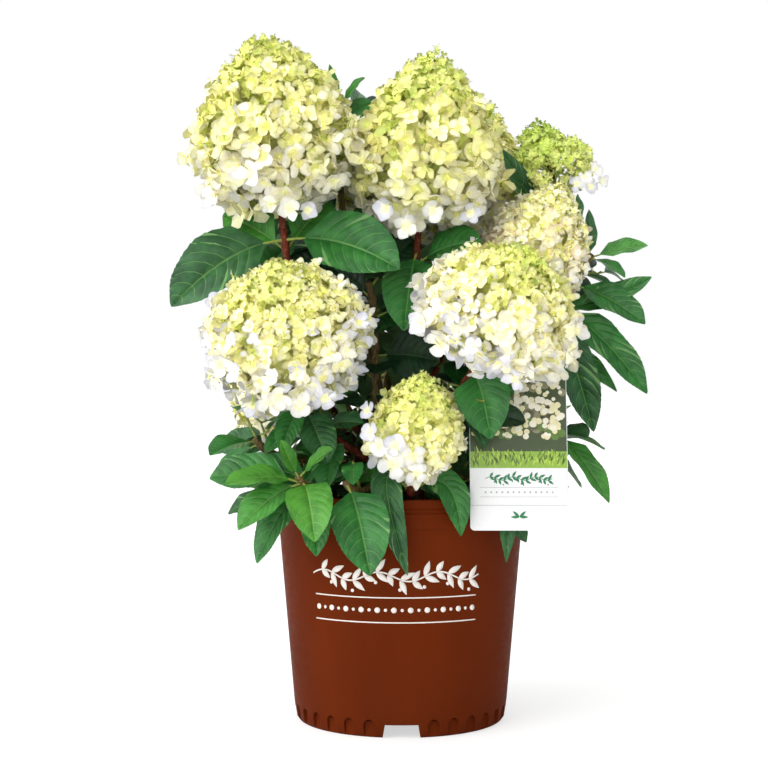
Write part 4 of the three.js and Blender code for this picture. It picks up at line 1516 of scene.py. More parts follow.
LEAFY = [
    Cane("front_left", Ring.LOW, LeafRule(2, 74, 30, 66, 0.35, 262), (
        Shown(0.985, (-106, -142, 270), 15, -3, (280, 30), Y), Shown(0.985, (-60, -146, 262), 19, 5, (250, 45), Y),
        Shown(0.93, (-154, -148, 231), 28, 12, (262, 50), Y), Shown(0.93, (-172, -104, 234), 42, 12, (255, 40), M),
        Shown(0.93, (-143, -140, 191), 36, 14, (250, 40), F), Shown(0.93, (-75, -164, 183), 42, 24, (268, 38), Y),
        Shown(0.86, (-128, -124, 160), 34, 26, (240, 30), M),
    ), tip=(-92, -118, 237), greens=(M, F)),
    Cane("front", Ring.LOW, LeafRule(3, 76, 10, 66, 0.3, 270), (
        Shown(0.97, (-28, -156, 153), 52, 24, (272, 26), M),
    ), tip=(-50, -118, 232)),
    Cane("front_right", Ring.LOW, LeafRule(3, 62, 35, 60, 0.2, 290), (
        Shown(0.97, (94, -98, 158), 22, 52, (285, 15), D, 10),
    ), tip=(86, -70, 240)),
    Cane("right_low", Ring.LOW, LeafRule(4, 80, 65, 68, 0.5, 330), (
        Shown(0.97, (193, -52, 208), 28, 14, (300, 40), F), Shown(0.9, (172, -60, 268), 34, 8, (285, 40), D),
    ), tip=(150, -22, 276)),
    Cane("right_high", Ring.MIDDLE, LeafRule(1, 56, 40, 62, 0.3, 300), (
        Shown(0.985, (183, 16, 488), 16, -9, (300, 20), D), Shown(0.985, (239, 8, 452), 26, 4, (285, 50), F),
        Shown(0.985, (214, -10, 420), 20, 6, (290, 60), M), Shown(0.74, (240, -8, 421), 24, -12, (285, 25), M),
        Shown(0.86, (231, -24, 375), 34, 12, (280, 30), M), Shown(0.76, (232, -30, 309), 36, 24, (280, 25), M),
        Shown(0.76, (179, -50, 274), 38, 14, (275, 20), D), Shown(0.66, (207, -6, 311), 24, 8, (290, 40), M),
    ), tip=(186, 14, 444)),
    Cane("left", Ring.LOW, LeafRule(4, 84, 55, 70, 0.4, 225), (
        Shown(0.97, (-173, -92, 254), 32, 8, (250, 45), M),
    ), tip=(-136, -52, 268)),
    Cane("back_left_low", Ring.LOW, LeafRule(4, 84, 20, 70, 0.4, 125), tip=(-92, 128, 262)),
    Cane("back_right_low", Ring.LOW, LeafRule(4, 84, 50, 70, 0.4, 50), tip=(110, 112, 266)),
    Cane("top", Ring.HIGH, LeafRule(3, 62, 25, 52, 0.15, 300), (
        Shown(0.985, (-68, -8, 624), 10, -3, (290, 20), F), Shown(0.985, (-34, -14, 610), 13, 6, (270, 40), F),
        Shown(0.93, (-26, 8, 590), 20, 8, (280, 20), M),
    ), tip=(-58, 8, 590), rake=-0.1, greens=(M, F)),
    # The middle cane's shown leaves and most of its other leaves take K, the painted-shade green for the inside of the
    # crown.
    Cane("middle", Ring.MIDDLE, LeafRule(4, 92, 0, 70, 0.5, 270), (
        Shown(0.97, (12, -30, 455), 42, 4, (270, 10), K), Shown(0.9, (-72, -30, 432), 46, 6, (265, 10), K),
        Shown(0.8, (42, -40, 400), 44, 8, (275, 12), K), Shown(0.6, (34, -60, 340), 46, 6, (275, 10), K),
        Shown(0.55, (-24, -60, 328), 46, 6, (268, 10), K),
    ), tip=(-30, -62, 412), greens=(K, K, D)),
    Cane("middle_back", Ring.MIDDLE, LeafRule(4, 92, 45, 70, 0.5, 90), tip=(20, 96, 436)),
    # Most shown leaves of this cane take K, the painted-shade green for the inside of the crown.
    Cane("left_high", Ring.MIDDLE, LeafRule(4, 84, 10, 66, 0.4, 180), (
        Shown(0.97, (-60, 20, 456), 46, 4, (270, 8), K), Shown(0.9, (-66, 24, 424), 44, 4, (268, 8), K),
        Shown(0.94, (-86, 10, 508), 62, 6, (268, 8), D), Shown(0.985, (-62, 4, 500), 52, 10, (272, 8), K),
    ), tip=(-128, 30, 446)),
]
YOUNG_MASSES = ("leafy_front_left", "leafy_top")
HANGING = {
    "lower_centre": (
        ((-8, -172, 250), 13, (268, -8)), ((-28, -162, 277), 10, (240, 10)), ((-20, -166, 265), 10, (255, -5)),
        ((-6, -172, 266), 11, (270, 5)), ((9, -174, 257), 11, (285, -15)), ((-30, -156, 296), 9, (235, 20)),
        ((12, -176, 243), 10, (275, -25)),
    ),
    "upper_left": (
        ((-99, -112, 475), 12, (265, -10)), ((-84, -108, 474), 10, (285, -15)), ((-117, -110, 479), 10, (250, -10)),
        ((-171, -84, 489), 11, (235, -15)),
    ),
    "upper_centre": (
        ((5, -100, 460), 12, (265, -10)), ((-14, -94, 477), 12, (250, -10)), ((28, -104, 474), 11, (275, -10)),
        ((62, -92, 473), 10, (290, -15)),
    ),
    "middle_left": (
        ((-87, -178, 300), 12, (265, -20)), ((-66, -172, 307), 11, (280, -20)), ((-112, -180, 303), 12, (255, -25)),
    ),
    "middle_right": (
        ((97, -186, 332), 13, (272, -15)), ((74, -184, 341), 12, (262, -15)), ((32, -178, 353), 12, (250, -15)),
        ((16, -168, 371), 12, (240, -5)), ((149, -150, 365), 11, (300, -10)),
    ),
    "upper_right": (
        ((187, -2, 524), 8, (300, 10)), ((182, -4, 507), 8, (290, 0)), ((194, 2, 513), 7, (310, 5)),
        ((168, -8, 510), 8, (280, 0)), ((176, -6, 516), 7, (285, 10)),
    ),
}


# Leaves


@dataclass
class BladePattern:
    """The lattice of a leaf blade: rows that follow its side veins, and strips for the veins themselves."""

    veins: int
    columns: tuple[float, ...]
    sweep: float = 0.7
    strip: float = 0.0038
    tooth: float = 0.03

    def __post_init__(self) -> None:
        """Works out where each point lies, how it is lifted, and which faces are veins."""
        at = np.linspace(0.07, 0.9, self.veins)
        rows, marks, teeth = [], [], []
        for i, vein in enumerate(at):
            gap = (at[i + 1] if i + 1 < self.veins else 0.985) - vein
            rows += [vein - self.strip, vein + self.strip, vein + gap * 0.36, vein + gap * 0.68]
            marks += [int(i > 0), 0, 0, 0]
            teeth += [0, 1, 0, 1]
        half = np.array(self.columns)
        wide = np.concatenate([-half[::-1], [0], half])
        row = np.array(rows)[:, None]
        side = np.abs(wide)[None]
        self.rows, self.wide = len(rows), len(wide)
        self.along = row + self.sweep * np.sqrt(row) * (1 - row) * side**1.5
        self.aside = wide[None] * (1 + self.tooth * np.array(teeth)[:, None] * (side == 1))
        mid = np.array([-1, -1, 1, 1] * self.veins)[:, None]
        self.lift = mid * np.sin(np.pi * np.clip(side, 0, 1)) ** 0.7 * 1.7 * row**0.7 * (1 - row)
        self.lift[:, self.wide // 2] = -0.9
        middle = self.wide // 2
        veined = np.zeros((self.rows - 1, self.wide - 1), bool)
        veined[np.array(marks[:-1], bool)] = True
        veined[:, [0, -1]] = False
        veined[:, middle - 1 : middle + 1] = True
        self.quads = lattice(self.rows, self.wide)
        self.veined = veined.ravel()
        self.under = lattice(self.rows, 3)[:, ::-1]

    def ends(self, wide: int, first: int) -> Array:
        """Returns the triangles that close rows of points at the blade's foot and tip.

        Args:
            wide: How many points a row has.
            first: Where the first row starts; the foot and the tip follow the last.

        Returns:
            The triangles, which look up.
        """
        spots = np.arange(wide - 1)
        foot, tip = first + self.rows * wide, first + self.rows * wide + 1
        last = first + (self.rows - 1) * wide
        low = np.stack([np.full(wide - 1, foot), first + spots + 1, first + spots], axis=1)
        high = np.stack([last + spots, last + spots + 1, np.full(wide - 1, tip)], axis=1)
        return np.concatenate([low, high])


FINE = BladePattern(8, (0.035, 0.3, 0.6, 0.85, 1.0))
PLAIN = BladePattern(6, (0.045, 0.5, 1.0))


@dataclass
class Leaf:
    """One leaf: the line of its stalk and rib, the way that it faces, its width and its green."""

    line: Curve
    over: Array
    width: float
    green: Green
    pattern: BladePattern = field(default_factory=lambda: FINE)
    seed: int = 0
    petiole: float = 0.16
    fold: float = 15.0
    widest: float = 0.47
    fullness: float = 0.58
    relief: float = 0.013
    young_relief: float = 0.45
    wave: float = 0.018
    thickness: float = 0.8

    def half(self, share: Array) -> Array:
        """Finds the half width of the blade.

        Args:
            share: The share of its length.

        Returns:
            The half width there.
        """
        taper = self.fullness * (1 - self.widest) / self.widest
        share = np.clip(share, 0, 1)
        drawn = 1 - 0.3 * np.exp(-(((1 - share) / 0.09) ** 2))
        full = (share / self.widest) ** self.fullness * ((1 - share) / (1 - self.widest)) ** taper
        return self.width / 2 * full * drawn

    def spread(self, along: Array, aside: Array, lift: Array, wave: float = 0.0) -> Array:
        """Lays points of the blade in space.

        Args:
            along: Their share of the blade's length.
            aside: Their share of its half width, to the left if below 0.
            lift: How far they stand above it.
            wave: How far the margin waves up and down.

        Returns:
            The points.
        """
        share = lerp(self.petiole, 1, along)
        centre, tangent = self.line.point(share), self.line.tangent(share)
        side = unit(np.cross(tangent, self.over))
        normal = np.cross(side, tangent)
        half = self.half(along)
        fold = math.radians(self.fold)
        far = np.abs(aside)
        rise = half * math.sin(fold) * (1.5 * far - 0.5 * far**2) + lift
        rise = rise + wave * far**2 * np.sin(along * 13 + self.seed + np.sign(aside)) * np.sin(np.pi * along)
        return centre + side * (aside * half * math.cos(fold))[..., None] + normal * rise[..., None]

    def probes(self) -> Array:
        """Returns a few points of the blade that stand for it when its room is tested."""
        along, aside = np.meshgrid([0.12, 0.3, 0.5, 0.7, 0.88, 1.0], [-0.85, 0.0, 0.85])
        return self.spread(along.ravel(), aside.ravel(), np.zeros(along.size))

    def grow(self, sheaf: Sheaf) -> None:
        """Adds the upper face, the paler underside and the stalk to a sheaf.

        Args:
            sheaf: Where the leaf goes.
        """
        pattern = self.pattern
        blade = 2 * GREENS.index(self.green)
        under = 2 * len(GREENS)
        relief = self.relief * self.line.length * (self.young_relief if self.green is Green.YOUNG else 1.0)
        wave = self.wave * self.line.length
        ends = self.spread(np.array([0.0, 1.0]), np.zeros(2), np.zeros(2))
        top = self.spread(pattern.along, pattern.aside, pattern.lift * relief, wave).reshape(-1, 3)
        sheaf.add(np.concatenate([top, ends]), pattern.quads, np.where(pattern.veined, blade + 1, blade))
        sheaf.cover(pattern.ends(pattern.wide, 0), blade)
        columns = [0, pattern.wide // 2, -1]
        drop = np.array([0.0, -self.thickness, 0.0])[None] + 0 * pattern.along[:, columns]
        low = self.spread(pattern.along[:, columns], pattern.aside[:, columns], drop, wave).reshape(-1, 3)
        sheaf.add(np.concatenate([low, ends]), pattern.under, under)
        sheaf.cover(pattern.ends(3, 0)[:, ::-1], under)
        stalk = np.linspace(0, self.petiole + 0.03, 6)
        path = self.line.point(stalk) - np.array([0, 0, 0.3])
        sheaf.tube(path, np.linspace(1.5, 0.95, 6) * (0.5 + self.line.length / 180), 6, under + 1)


@dataclass
class Room:
    """What has been built so far, against which new leaves are tested, with the gaps to keep in millimetres."""

    pot: Pot
    heads: list[Head]
    canes: Array
    leaves: list[Array] = field(default_factory=list)
    shown: list[Array] = field(default_factory=list)
    near: float = 5.0
    veil: float = 13.0
    front: float = -60.0
    mix_top: float = 202.0
    card_x: Pair = (57.0, 152.0)
    card_z: Pair = (184.0, 334.0)
    card_foot: Pair = (-111.0, 188.0)
    card_lean: float = 0.176
    stalk: float = 14.0

    def is_free(self, leaf: Leaf, box: tuple[Array, Array]) -> bool:
        """Says whether a leaf keeps to its mass's space and clear of all else.

        Args:
            leaf: The leaf to test.
            box: The lowest and highest corner of its space.

        Returns:
            Whether there is room for it.
        """
        probes = leaf.probes()
        if (probes < box[0]).any() or (probes > box[1]).any():
            return False
        radius = np.hypot(probes[:, 0], probes[:, 1])
        low = probes[:, 2] < self.pot.height + 2
        if (low & (radius < self.pot.rim_radius + 2) & (radius > self.pot.body_top - 7)).any():
            return False
        if ((radius < self.pot.body_top) & (probes[:, 2] < self.mix_top)).any():
            return False
        x, y, z = probes.T
        card = (x > self.card_x[0]) & (x < self.card_x[1]) & (z > self.card_z[0]) & (z < self.card_z[1])
        card_y = self.card_foot[0] + (z - self.card_foot[1]) * self.card_lean
        if (card & (np.abs(y - card_y) < self.near)).any():
            return False
        if any(head.holds(probes, 0.97).any() for head in self.heads):
            return False
        blade = probes[np.linalg.norm(probes - leaf.line.point(0.0), axis=1) > self.stalk]
        if self.closest(blade, self.canes) < self.near or self.hides(probes):
            return False
        return not self.leaves or self.closest(probes, np.concatenate(self.leaves)) > self.near

    @staticmethod
    def closest(points: Array, others: Array) -> float:
        """Returns the least distance between two sets of points."""
        gaps = np.linalg.norm(points[:, None] - others[None], axis=2)
        return float(gaps.min()) if gaps.size else math.inf

    def hides(self, points: Array) -> bool:
        """Tells whether any point stands before a leaf that is to be seen.

        Args:
            points: The points.

        Returns:
            Whether one of them does.
        """
        seen = np.concatenate(self.shown)
        gap = points[:, None] - seen[None]
        before = (gap[..., 1] < 0) & (points[:, None, 1] < self.front)
        return bool((before & (np.hypot(gap[..., 0], gap[..., 2]) < self.veil)).any())

    def keep(self, leaf: Leaf) -> None:
        """Remembers a leaf's place."""
        self.leaves.append(leaf.probes())


def leaf_line(root: Array, tip: Array, arch: float, sway: float = 0.0) -> Curve:
    """Returns the line of a leaf from root to tip, arched upwards and swayed to one side."""
    return Curve(root, (root + tip) / 2 + [sway, 0, arch], tip)


@dataclass
class Stand:
    """How leaves stand in opposite pairs on a cane or twig, each of them a little free in every measure."""

    curve: Curve
    rule: LeafRule
    greens: Sequence[Green]
    rng: Random
    turn_free: float = 44.0
    splay_free: float = 30.0
    fine_above: float = 58.0

    def leaf(self, at: float, pair: int, side: int, size: float) -> Leaf:
        """Makes one leaf.

        Args:
            at: The share of the length where it stands.
            pair: The number of its pair.
            side: Which leaf of the pair it is.
            size: Its size beside the rule's.

        Returns:
            The leaf.
        """
        rule, rng = self.rule, self.rng
        run = self.curve.run(at)
        root, axis = self.curve.point(run), self.curve.tangent(run)
        turn = math.radians(rule.turn + 90 * pair + 180 * side + self.turn_free * (rng.random() - 0.5))
        splay = math.radians(rule.splay + self.splay_free * (rng.random() - 0.5))
        length = rule.length * size * rng.uniform(0.78, 1.05)
        along = around(*across(axis), turn) * math.sin(splay) + axis * math.cos(splay)
        along = unit(along - UP * rule.sag * rng.uniform(0.5, 1.1))
        line = leaf_line(root, root + along * length * 1.16, length * rng.uniform(0.1, 0.22))
        facing = direction(rule.facing + rng.normal(0, 14), 32) + axis * 0.4 + UP * 0.3
        green = self.greens[int(rng.integers(0, len(self.greens)))]
        pattern = FINE if length > self.fine_above else PLAIN
        return Leaf(line, facing, length * rng.uniform(0.5, 0.6), green, pattern, int(rng.integers(0, 99)))


@dataclass
class Growth:
    """A mass of leaves as it grows: what it keeps clear of, its space and its sheaf."""

    room: Room
    box: tuple[Array, Array]
    sheaf: Sheaf

    def first(self, stand: Stand, at: float, pair: int, side: int, sizes: Iterable[float]) -> int:
        """Grows the first leaf that finds room, of one that shrinks with every try.

        Args:
            stand: How the leaf stands.
            at: The share of the length where it stands.
            pair: The number of its pair.
            side: Which leaf of the pair it is.
            sizes: Its sizes beside the rule's.

        Returns:
            How many leaves grew, 1 or 0.
        """
        for size in sizes:
            leaf = stand.leaf(at, pair, side, size)
            if self.room.is_free(leaf, self.box):
                self.room.keep(leaf)
                leaf.grow(self.sheaf)
                return 1
        return 0


# Florets


@dataclass
class FloretPattern:
    """A floret of four petals round an eye, at a radius of 1, facing +Z, with its stalk below it."""

    seed: int
    rows: tuple[float, ...]
    columns: int
    shape_at: tuple[float, ...] = (0.0, 0.25, 0.5, 0.75, 1.0)
    shape_half: tuple[float, ...] = (0.1, 0.28, 0.45, 0.52, 0.37)
    round_off: float = 0.15
    cups: Pair = (0.0, 0.85)
    twist: float = 0.0

    def petal(self, number: int, rng: Random) -> Array:
        """Returns the points of one petal, cupped, hollowed and curled in its own way.

        Args:
            number: Which of the four petals it is.
            rng: The source of its freedom.

        Returns:
            Its points, row by row from the eye outwards.
        """
        share, wide = np.meshgrid(self.rows, np.linspace(-1, 1, self.columns + 1), indexing="ij")
        length, breadth = rng.uniform(0.84, 1.12), rng.uniform(0.9, 1.15)
        cup, hollow, curl = rng.uniform(*self.cups), rng.uniform(-0.4, 0.5), rng.uniform(-0.3, 0.8)
        x = wide * np.interp(share, self.shape_at, self.shape_half) * breadth
        y = share * (1 - self.round_off * wide**2 * share) * length
        z = cup * y**1.5 + hollow * np.abs(x) * wide**2 - curl * np.maximum(0, y - 0.5) ** 2 - 0.06 * (number % 2)
        z = z + 0.07 * share * np.sin(6 * y + 5 * x + rng.uniform(0, 6)) + self.twist * rng.uniform(-1, 1) * x * share
        turn = number * math.pi / 2 + rng.normal(0, 0.12)
        cos, sin = math.cos(turn), math.sin(turn)
        return np.stack([x * cos - y * sin, x * sin + y * cos, z], axis=-1).reshape(-1, 3)

    def __post_init__(self) -> None:
        """Lays out the points, the faces and the part that each face belongs to."""
        rng = np.random.default_rng(self.seed)
        cells = lattice(len(self.rows), self.columns + 1)
        points = [self.petal(i, rng) for i in range(4)]
        size = len(points[0])
        quads = [cells + i * size for i in range(4)]
        throat = np.repeat(np.arange(len(self.rows) - 1) == 0, self.columns).astype(int)
        points.append(np.array([[1, 0, 0.05], [0, 1, 0.05], [-1, 0, 0.05], [0, -1, 0.05], [0, 0, 1.2]]) * 0.12)
        self.tris = np.array([[0, 1, 4], [1, 2, 4], [2, 3, 4], [3, 0, 4]]) + 4 * size
        stalk = Sheaf()
        stalk.tube(np.array([[0, 0, -1.0], [0, 0, 0.0]]), np.full(2, 0.06), 3, 0)
        sides = stalk.faces[4][0]
        quads.append(sides + 4 * size + 5)
        points += stalk.points
        self.points = np.concatenate(points)
        self.quads = np.concatenate(quads)
        self.parts = np.concatenate([np.tile(throat, 4), np.full(len(sides), 3)])

    def scatter(self, sheaf: Sheaf, at: Array, frames: Array, sizes: Array, slots: Array) -> None:
        """Sets copies of the floret into a sheaf.

        Args:
            sheaf: Where they go.
            at: Their places.
            frames: The right, over and outward direction of each, one to a row.
            sizes: Their radii.
            slots: Their slots for petals, throat, eye and stalk.
        """
        points = at[:, None] + sizes[:, None, None] * np.einsum("pk,nkj->npj", self.points, frames)
        step = (len(self.points) * np.arange(len(at)))[:, None, None]
        sheaf.add(points.reshape(-1, 3), (self.quads[None] + step).reshape(-1, 4), slots[:, self.parts].ravel())
        sheaf.cover((self.tris[None] + step).reshape(-1, 3), np.repeat(slots[:, 2], len(self.tris)))


PETAL_ROWS = (0.05, 0.36, 0.7, 1.0)
RUFFLE = {"shape_half": (0.1, 0.27, 0.44, 0.5, 0.3), "round_off": 0.2, "cups": (0.15, 1.2), "twist": 0.7}
OPEN_FLORETS = [FloretPattern(20 + i, PETAL_ROWS, 3) for i in range(14)]
RUFFLED_FLORETS = [FloretPattern(60 + i, PETAL_ROWS, 3, **RUFFLE) for i in range(14)]
SMALL_FLORETS = [FloretPattern(40 + i, (0.05, 0.35, 1.0), 2) for i in range(8)]


@dataclass(frozen=True)
class Layer:
    """A layer of florets.

    Its cover is a share of the head's, and its share is its depth, as a range of the way out. Deep is how many steps
    of the fade it lies beyond the outer florets, and top is the share of the height where it ends.
    """

    cover: float
    share: Pair
    tilt: float
    deep: float
    top: float = 1.0
    inner: bool = False


LAYERS = (
    Layer(1.0, (0.81, 0.94), 0.45, -0.5),
    Layer(0.13, (0.95, 1.04), 0.4, -0.8, top=0.75),
    # The inner layer is dealt colours 1.3 steps further along the fade: partly the greener inner florets, partly
    # painted yellow shade in the gaps between the outer florets.
    Layer(0.62, (0.73, 0.83), 0.4, 1.3, inner=True),
)


@dataclass
class Bloom:
    """The florets of one flower head: a few that stand out, an outer and an inner layer, and a core."""

    head: Head
    seed: int
    loose: tuple = ()
    core_share: float = 0.73
    open_above: float = 5.8
    level_free: float = 0.55
    throat_step: float = 1.6
    hang_below: float = 0.26
    hang_over: float = 0.2
    hang_out: float = 0.04
    hang_down: float = 0.25
    hang_size: float = 0.12
    sizes: Pair = (0.78, 1.15)

    def colours(self, h: Array, deep: float, rng: Random) -> Array:
        """Deals out the colours of florets by their height on the head.

        Args:
            h: Their shares of the height.
            deep: How many steps of the fade they lie beyond the outer florets.
            rng: The source of their freedom.

        Returns:
            The slots of petals, throat, eye and stalk of each.
        """
        low, high, power = self.head.fade
        level = lerp(low, high, np.clip(h, 0, 1) ** power) + deep + rng.normal(0, self.level_free, len(h))
        fade = np.array([tone.slot for tone in FADE])
        last = len(FADE) - 1
        petals = fade[np.clip(np.round(level), 0, last).astype(int)]
        pale = (petals == fade[0]) | ((petals == fade[1]) & (rng.random(len(h)) < 0.5))
        petals = np.where(pale & (rng.random(len(h)) < self.head.tinted), self.head.tint.slot, petals)
        # The throat row of each petal is dealt a colour throat_step further along the fade: partly the petal's own
        # greener base, partly painted yellow shade in the floret's depth.
        inward = np.round(level + self.throat_step + rng.normal(0, 0.4, len(h)))
        throat = fade[np.clip(inward, 1, last - 1).astype(int)]
        eye = np.full(len(h), Petal.LIME_CREAM.slot)
        return np.stack([petals, throat, eye, np.full(len(h), Petal.STALK.slot)], axis=1)

    def set_out(self, sheaf: Sheaf, at: Array, ways: Array, sizes: Array, slots: Array, inner: bool = False) -> None:
        """Sets florets of mixed patterns in place, each spun at will.

        Args:
            sheaf: Where they go.
            at: Their places.
            ways: Where they face.
            sizes: Their radii.
            slots: Their slots for petals, throat, eye and stalk.
            inner: Whether others cover them, so that the plainer patterns will do.
        """
        rng = np.random.default_rng(self.seed + len(at))
        right = around(*across(ways), rng.uniform(0, 2 * np.pi, (len(at), 1)))
        frames = np.stack([right, np.cross(ways, right), ways], axis=1)
        pick = rng.integers(0, 1000, len(at))
        fine = (sizes > self.open_above) & (not inner)
        ruffled = rng.random(len(at)) < self.head.ruffled
        kinds = ((OPEN_FLORETS, fine & ~ruffled), (RUFFLED_FLORETS, fine & ruffled), (SMALL_FLORETS, ~fine))
        for patterns, chosen in kinds:
            for i, pattern in enumerate(patterns):
                mine = chosen & (pick % len(patterns) == i)
                pattern.scatter(sheaf, at[mine], frames[mine], sizes[mine], slots[mine])

    def layer(self, sheaf: Sheaf, layer: Layer) -> None:
        """Adds a layer of florets.

        Args:
            sheaf: Where they go.
            layer: Its measures.
        """
        head = self.head
        cover = head.cover * layer.cover
        rng = np.random.default_rng(self.seed + int(100 * cover))
        h, turn = head.places(cover)
        count = np.searchsorted(h, layer.top)
        h = np.clip(h[:count] + rng.normal(0, 0.014, count), 0.012, 0.995)
        turn = turn[:count] + rng.normal(0, 0.12, count)
        hang = np.clip((self.hang_below - h) / self.hang_over, 0, 1) * rng.uniform(0, 1, count) * (not layer.inner)
        reach = (rng.uniform(*layer.share, count) + self.hang_out * hang) * head.lumps(h, turn)
        centres = head.surface(h, turn, reach)
        tilt = rng.normal(0, layer.tilt, (count, 3))
        outward = unit(head.normal(h, turn) + tilt - UP * (self.hang_down * hang)[:, None])
        sizes = head.floret * head.floret_size(h) * rng.uniform(*self.sizes, count) * (1 + self.hang_size * hang)
        self.set_out(sheaf, centres, outward, sizes, self.colours(h, layer.deep, rng), layer.inner)

    def core(self, sheaf: Sheaf) -> None:
        """Adds the core, a bumpy cone that closes the view between the florets.

        Args:
            sheaf: Where it goes.
        """
        rng = np.random.default_rng(self.seed)
        rings, sides = 18, 24
        h = np.linspace(0.02, 0.985, rings)
        turn = 2 * np.pi * np.arange(sides) / sides
        grid_h, grid_turn = np.meshgrid(h, turn, indexing="ij")
        share = self.core_share * rng.uniform(0.92, 1.05, grid_h.shape) * self.head.lumps(grid_h, grid_turn)
        points = self.head.surface(grid_h.ravel(), grid_turn.ravel(), share.ravel())
        ends = self.head.surface(np.array([0.0, 1.0]), np.zeros(2), np.full(2, self.core_share))
        # The core's colour is painted shade: a lime sheet that stands in for the yellowish shade seen between the
        # florets.
        sheaf.add(np.concatenate([points, ends]), lattice(rings, sides, True), Petal.HEART.slot)
        sheaf.cover(caps(rings, sides), Petal.HEART.slot)

    def clusters(self, sheaf: Sheaf, count: int = 34, each: int = 24) -> None:
        """Adds the side branches of a loose head, each with a small dome of unopened florets.

        Args:
            sheaf: Where they go.
            count: How many side branches there are.
            each: How many florets each of them bears.
        """
        head = self.head
        rng = np.random.default_rng(self.seed + 7)
        h = (np.arange(count) + 0.5) / count
        turn = np.arange(count) * GOLDEN_ANGLE + rng.normal(0, 0.15, count)
        hearts = head.surface(h, turn, rng.uniform(0.62, 0.84, count) * head.lumps(h, turn))
        normals = head.normal(h, turn)
        cap = np.linspace(0.98, -0.25, each)
        spiral = np.arange(each) * GOLDEN_ANGLE
        for heart, normal, at in zip(hearts, normals, h):
            root = head.foot + head.axis * head.size[1] * max(0.03, at * 0.7 - 0.08)
            line = Curve(root, (root + heart) / 2 - head.axis * 3, heart)
            sheaf.tube(line.point(np.linspace(0, 1, 5)), np.linspace(1.1, 0.6, 5), 5, Petal.STALK.slot)
            aside = around(*across(normal), spiral[:, None]) * np.sqrt(1 - cap**2)[:, None]
            ways = unit(normal * cap[:, None] + aside + rng.normal(0, 0.08, (each, 3)))
            radius = rng.uniform(8.5, 12.5)
            centres = heart + ways * radius * rng.uniform(0.85, 1.08, (each, 1))
            sizes = head.floret * rng.uniform(0.65, 1.05, each)
            outward = unit(ways + rng.normal(0, 0.3, (each, 3)))
            self.set_out(sheaf, centres, outward, sizes, self.colours(np.full(each, at), 0, rng))

    def extras(self, sheaf: Sheaf) -> None:
        """Adds the few big florets that hang out of the head, each on a stalk of its own.

        Args:
            sheaf: Where they go.
        """
        if not self.loose:
            return
        at, sizes, facings = (np.array(column, float) for column in zip(*self.loose))
        parts = (Petal.WHITE, Petal.CREAM, Petal.LIME_CREAM, Petal.STALK)
        slots = np.tile([tone.slot for tone in parts], (len(at), 1))
        # Every second hanging floret takes the greyed COOL tone, partly painted shade.
        slots[1::2, 0] = Petal.COOL.slot
        self.set_out(sheaf, at, direction(*facings.T), sizes, slots)

    def grow(self) -> Sheaf:
        """Grows the whole head.

        Returns:
            Its florets and its core.
        """
        sheaf = Sheaf()
        if self.head.floret < 6:
            self.clusters(sheaf)
        else:
            for layer in LAYERS:
                self.layer(sheaf, layer)
            self.core(sheaf)
        self.extras(sheaf)
        return sheaf


# The whole plant


@dataclass
class Trunk:
    """The short woody stump with its root flare and the round head that the canes spring from."""

    soil: Soil
    foot_radius: float = 29.0
    waist: float = 17.0
    head_radius: float = 22.0
    head_height: float = 232.0

    @property
    def centre(self) -> Array:
        """The middle of the trunk's head."""
        return np.array([0.0, 0.0, self.head_height])

    def build(self) -> None:
        """Builds the stump with the bark's relief and puts it in place."""
        foot = self.soil.height + self.soil.rise + 0.3
        flare = self.foot_radius
        rings = [(4, foot), (flare, foot), (flare * 0.86, foot + 2.5), (flare * 0.72, foot + 6)]
        rings += [(self.waist, foot + 12)]
        for angle in range(-45, 85, 9):
            turn = math.radians(angle)
            rings.append((self.head_radius * math.cos(turn), self.head_height + self.head_radius * math.sin(turn)))
        stump = turned("trunk_bark", rings, 48)
        apply_modifier(stump, "SUBSURF", levels=2, render_levels=2)
        for name, size, strength in (("burl", 16, 2.4), ("fissure", 2.6, 1.3)):
            texture = bpy.data.textures.new(name, "CLOUDS")
            texture.noise_scale = size * MM
            texture.noise_depth = 2
            apply_modifier(stump, "DISPLACE", texture=texture, strength=strength * MM, mid_level=0.5)
        dress(stump, Bark("old_bark", "38241a", "7a5a44", "9a7f66").material())
        smooth_by_angle(stump, 60)
        place(stump, "bark", ["trunk"])


